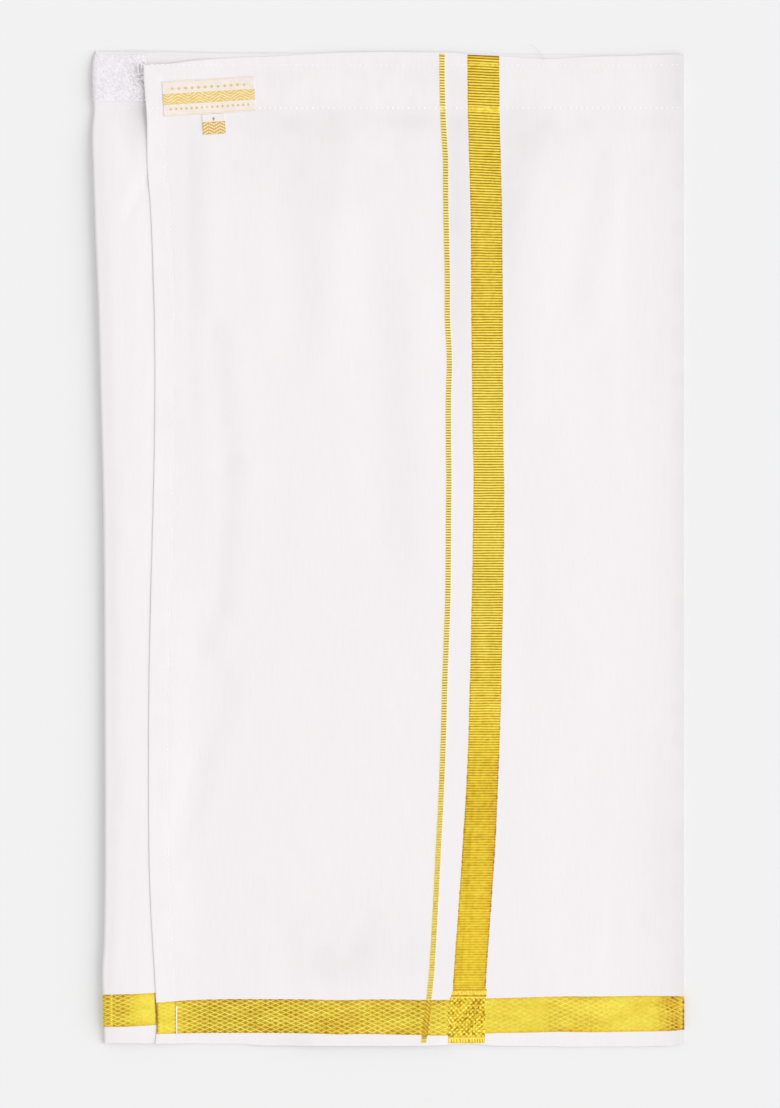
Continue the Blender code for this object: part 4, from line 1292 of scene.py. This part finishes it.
def label_place(along, across, out):
    """A place in the label's own plane, laid on the outer flap."""
    x = LABEL_X + along * math.cos(LABEL_TILT) - across * math.sin(LABEL_TILT)
    y = LABEL_Y + along * math.sin(LABEL_TILT) + across * math.cos(LABEL_TILT)
    return flap_place(x, y, out)


# The frayed corner's threads, each from (x, y) to (x, y) with a bow along y: white ones
# on top, and grey ones between them that are painted shade under the white ones.
WHITE_THREADS = [
    (-149.8, 290.9, -149.5, 285.4, 0.0), (-147.8, 291.0, -147.3, 285.6, 0.0),
    (-150.8, 284.5, -146.3, 285.2, -0.5), (-150.4, 281.5, -146.3, 282.0, -0.3),
    (-151.3, 279.0, -148.6, 277.0, 0.4),
]
PAINTED_SHADE_THREADS = [
    (-150.7, 289.0, -150.5, 285.2, 0.0), (-148.8, 290.0, -148.4, 285.2, 0.0),
    (-146.7, 289.0, -146.5, 285.4, 0.0), (-150.6, 283.2, -146.4, 283.8, -0.4),
    (-149.4, 280.0, -146.6, 280.2, 0.4), (-147.6, 279.0, -146.0, 277.4, 0.3),
]


def chevrons(along, across, pitch, turn_every):
    """Herringbone lines, 0 to 1: slanting threads that turn back every few mm."""
    fold = np.abs(np.mod(along, 2.0 * turn_every) - turn_every)
    return 0.5 + 0.5 * np.cos(TURN * (across + 0.55 * fold) / pitch)


def lozenges(along, across, pitch, width, height):
    """A row of small lozenges, evenly spaced: 1 inside each."""
    near = np.mod(along, pitch) - pitch / 2.0
    reach = np.abs(near) / width + np.abs(across) / height
    return 1.0 - smoothstep(0.7, 1.15, reach)


def satin(name, u, v, tone, lift, bulge, material):
    """A woven trim in the label's plane."""
    u, v = np.broadcast_arrays(u, v)
    points, faces = shell(label_place(u, v, lift), label_place(u, v, LABEL_FOOT), bulge)
    tones = np.full(len(points), 0.1)
    tones[:tone.size] = np.clip(tone, 0.0, 1.0).ravel()
    return add_piece(name, points, faces, [material], values={"tone": tones})


def woven_label():
    """A satin label with a gold herringbone band. Its rows of words are left as lozenges."""
    half_w, half_h = LABEL_WIDTH / 2.0, LABEL_HEIGHT / 2.0
    bulge = EDGE_ROUND * LABEL_THICK
    u = np.linspace(-half_w + bulge, half_w - bulge, 190)[None]
    v = np.linspace(half_h - bulge, -half_h + bulge, 92)[:, None]
    band = smoothstep(*LABEL_BAND_HALF, np.abs(v - LABEL_BAND))
    rim = smoothstep(0.35, 0.15, np.abs(np.abs(v) - (half_h - 0.75)))
    upper = (lozenges(u, v - UPPER_MARKS, 3.9, 1.45, 1.25)
             + 0.6 * lozenges(u + 1.95, v - UPPER_MARKS, 3.9, 0.5, 0.6))
    lower = lozenges(u, v - LOWER_MARKS, 3.1, 1.05, 1.15)
    marks = np.clip(upper + lower, 0.0, 1.0)
    marks = marks * smoothstep(half_w - 2.0, half_w - 4.0, np.abs(u))
    herringbone = chevrons(u, v, 1.7, 6.2)
    ground = 0.10 + 0.10 * noise(u, v, 3.0, 1.2, 81)
    gold = 0.62 + 0.30 * herringbone + 0.08 * noise(u, v, 1.2, 0.8, 82)
    tone = mix(ground, gold, band)
    tone = mix(tone, 0.56 + 0.12 * noise(u, v, 1.0, 1.0, 83), 0.85 * marks)
    tone = mix(tone, 0.50, 0.55 * rim)
    lift = LABEL_THICK + band * (0.05 + 0.09 * herringbone) + 0.05 * marks + 0.04 * rim
    lift = lift + 0.05 * noise(u, v, 9.0, 6.0, 84)
    label = satin("woven_label_satin", u, v, tone, lift, bulge, LABEL_SATIN)
    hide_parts("woven_label")
    return label


def size_tab():
    """The small tab below the label: a plain upper part over a gold herringbone."""
    bulge = EDGE_ROUND * LABEL_THICK
    high = -LABEL_HEIGHT / 2.0 - 0.1
    left = TAB_SHIFT - TAB_WIDTH / 2.0
    u = np.linspace(left + bulge, left + TAB_WIDTH - bulge, 80)[None]
    v = np.linspace(high - bulge, high - TAB_HEIGHT + bulge, 70)[:, None]
    block = smoothstep(high - 4.6, high - 5.0, v)
    herringbone = chevrons(u - left, v, 1.9, TAB_WIDTH / 4.0)
    knots = 0.5 + 0.5 * np.cos(TURN * (u - left) / 1.4)
    mark = lozenges(u - TAB_SHIFT + 20.0, v - high + 2.9, 40.0, 1.0, 1.6)
    ground = 0.08 + 0.06 * noise(u, v, 2.0, 1.0, 91)
    gold = 0.50 + 0.36 * herringbone + 0.10 * knots
    tone = mix(mix(ground, gold, block), 0.38, 0.8 * mark)
    lift = LABEL_THICK + block * (0.04 + 0.10 * herringbone) + 0.05 * mark
    tab = satin("size_tab_satin", u, v, tone, lift, bulge, TAB_SATIN)
    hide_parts("size_tab")
    return tab


def hairs(name, roots, tips, sag, radius, material):
    """Fine fibres from root to tip, bowed a little, as one joined mesh."""
    rings, sides = 6, 4
    share = np.linspace(0.0, 1.0, rings)[None, :, None]
    middle = mix(roots[:, None], tips[:, None], share) + sag[:, None] * np.sin(math.pi * share)
    angles = (np.arange(sides) / sides * TURN)[None, :, None]
    forward = unit(tips - roots)
    side = unit(np.cross(forward, [0.0, 0.0, 1.0]))
    up = np.cross(side, forward)
    around = np.cos(angles) * side[:, None] + np.sin(angles) * up[:, None]
    taper = radius * (1.0 - 0.5 * share)
    points = middle[:, :, None] + taper[..., None] * around[:, None]
    joined, faces = [], []
    for k, (strand, strand_faces) in enumerate(map(loft, points)):
        joined.append(strand)
        faces += [[v + k * rings * sides for v in face] for face in strand_faces]
    return add_piece(name, np.concatenate(joined), faces, [material])


def loose_fibres():
    """Frayed ends at the outer flap's corner, and a loose end at the waist."""
    rng = np.random.default_rng(101)
    count = FRAYED_ENDS
    y = rng.uniform(277.0, 290.3, count)
    x = edge_at(FREE_EDGE, y) + rng.uniform(0.0, 1.0, count)
    roots = flap_place(x, y, -0.3)
    reach = rng.uniform(0.8, 3.2, count)
    angle = rng.normal(math.pi, 0.55, count)
    tips = roots + np.stack([reach * np.cos(angle),
                             reach * np.sin(angle) + rng.normal(0, 0.6, count),
                             rng.uniform(-0.5, 0.2, count)], axis=1)
    tips[:, 2] = np.maximum(tips[:, 2], strip_top(tips[:, 0], tips[:, 1]) + 0.9)
    sag = np.stack([rng.normal(0, 0.3, count), rng.normal(0, 0.5, count),
                    rng.uniform(0.0, 0.4, count)], axis=1)
    frayed = hairs("frayed_ends", roots, tips, sag, 0.10, SEWING)
    corner = []
    for name, threads, rise, material in (
            ("corner_threads", WHITE_THREADS, 0.95, SEWING),
            ("corner_shade_threads", PAINTED_SHADE_THREADS, 0.55, SHADED_THREAD)):
        x0, y0, x1, y1, bow = np.array(threads).T
        ends = [points_at(x, y, strip_top(x, y) + TAPE_BACKING + rise)
                for x, y in ((x0, y0), (x1, y1))]
        corner.append(hairs(name, *ends, points_at(0.0, bow, 0.2), 0.34, material))
    # the loose end is in the shaded thread: painted shade
    root = flap_place(np.array([94.0]), np.array([293.4]), 0.1)
    loose = hairs("loose_end", root, np.array([LOOSE_TIP]), np.array([LOOSE_SAG]), 0.15,
                  SHADED_THREAD)
    return [frayed, loose] + corner


def hem_thread():
    """The side hem's bare white thread, where it crosses the border."""
    y = np.linspace(-274.4, -290.9, 12)
    middle = flap_place(np.full(len(y), HEM_THREAD_X), y, 0.22)
    angles = np.arange(6) / 6.0 * TURN
    around = points_at(0.28 * np.cos(angles), 0.0, 0.24 * np.sin(angles))
    points, faces = loft(middle[:, None] + around[None])
    return add_piece("hem_thread", points, faces, [SEWING])


# ---- studio
def studio():
    """The camera above the cloth, a pale floor, and soft low light from the right."""
    scene = bpy.context.scene
    data = bpy.data.cameras.new("camera")
    data.sensor_width = SENSOR
    data.lens = SENSOR * CAMERA_HEIGHT / VIEW_LENGTH
    data.clip_start, data.clip_end = 0.05, 50.0
    camera = add_object("camera", data)
    camera.location = (VIEW_MIDDLE[0] * MM, VIEW_MIDDLE[1] * MM, (CAMERA_HEIGHT + 3.0) * MM)
    scene.camera = camera
    scene.view_settings.view_transform = "Standard"

    sun = bpy.data.lights.new("key", "SUN")
    sun.energy = SUN_ENERGY
    sun.angle = math.radians(SUN_SPREAD)
    key = add_object("key", sun)
    key.rotation_euler = [math.radians(angle) for angle in SUN_TURN]

    world = bpy.data.worlds.new("studio")
    world.use_nodes = True
    background = world.node_tree.nodes["Background"]
    background.inputs["Color"].default_value = (1.0, 1.0, 1.0, 1.0)
    background.inputs["Strength"].default_value = SKY_STRENGTH
    scene.world = world

    floor = bpy.data.meshes.new("floor")
    corners = [(-FLOOR, -FLOOR, 0), (FLOOR, -FLOOR, 0), (FLOOR, FLOOR, 0), (-FLOOR, FLOOR, 0)]
    floor.from_pydata(corners, [], [(0, 1, 2, 3)])
    paper, tree, shader = new_material("pale_floor", 0.95, specular=0.1)
    grain = new_node(tree, "TexNoise", {"Scale": 9.0}).outputs["Fac"]
    tone = ramp_node(tree, grain, [(0.3, linear(233, 233, 233)), (0.7, linear(234, 234, 234))])
    tree.links.new(tone, shader.inputs["Base Color"])
    floor.materials.append(paper)
    stage = add_object("floor", floor)
    stage.location = (0.0, 0.0, -FLOOR_BELOW)


def main():
    studio()
    flap = outer_flap()
    under = under_layers()
    bands = [
        ribbed("zari_stripe", STRIPE, STRIPE_WIDTHS, -265.0, 296.2, 19, 201, stripe_look),
        ribbed("zari_line_upper", LINE, LINE_WIDTHS, -271.0, 297.2, 9, 202, line_look,
               ZARI_LINE),
        ribbed("zari_line_lower", LINE, LINE_WIDTHS, -296.6, -291.8, 9, 203, line_look,
               ZARI_LINE),
        border("zari_border", flap_place, BORDER_HIGH, BORDER_LOW, LATTICE_SHOWS,
               outer_ends, 640, 60, 205, outer_marks),
        crossing(),
    ]
    inner = border("zari_border_inner", strip_place, INNER_HIGH, INNER_LOW, INNER_SHOWS,
                   inner_ends, 66, 60, 204, inner_marks)
    rows, under_row = sewing()
    tape, pile = loop_tape()
    label = woven_label()
    tab = size_tab()
    fibres = loose_fibres()
    line = hem_thread()


main()
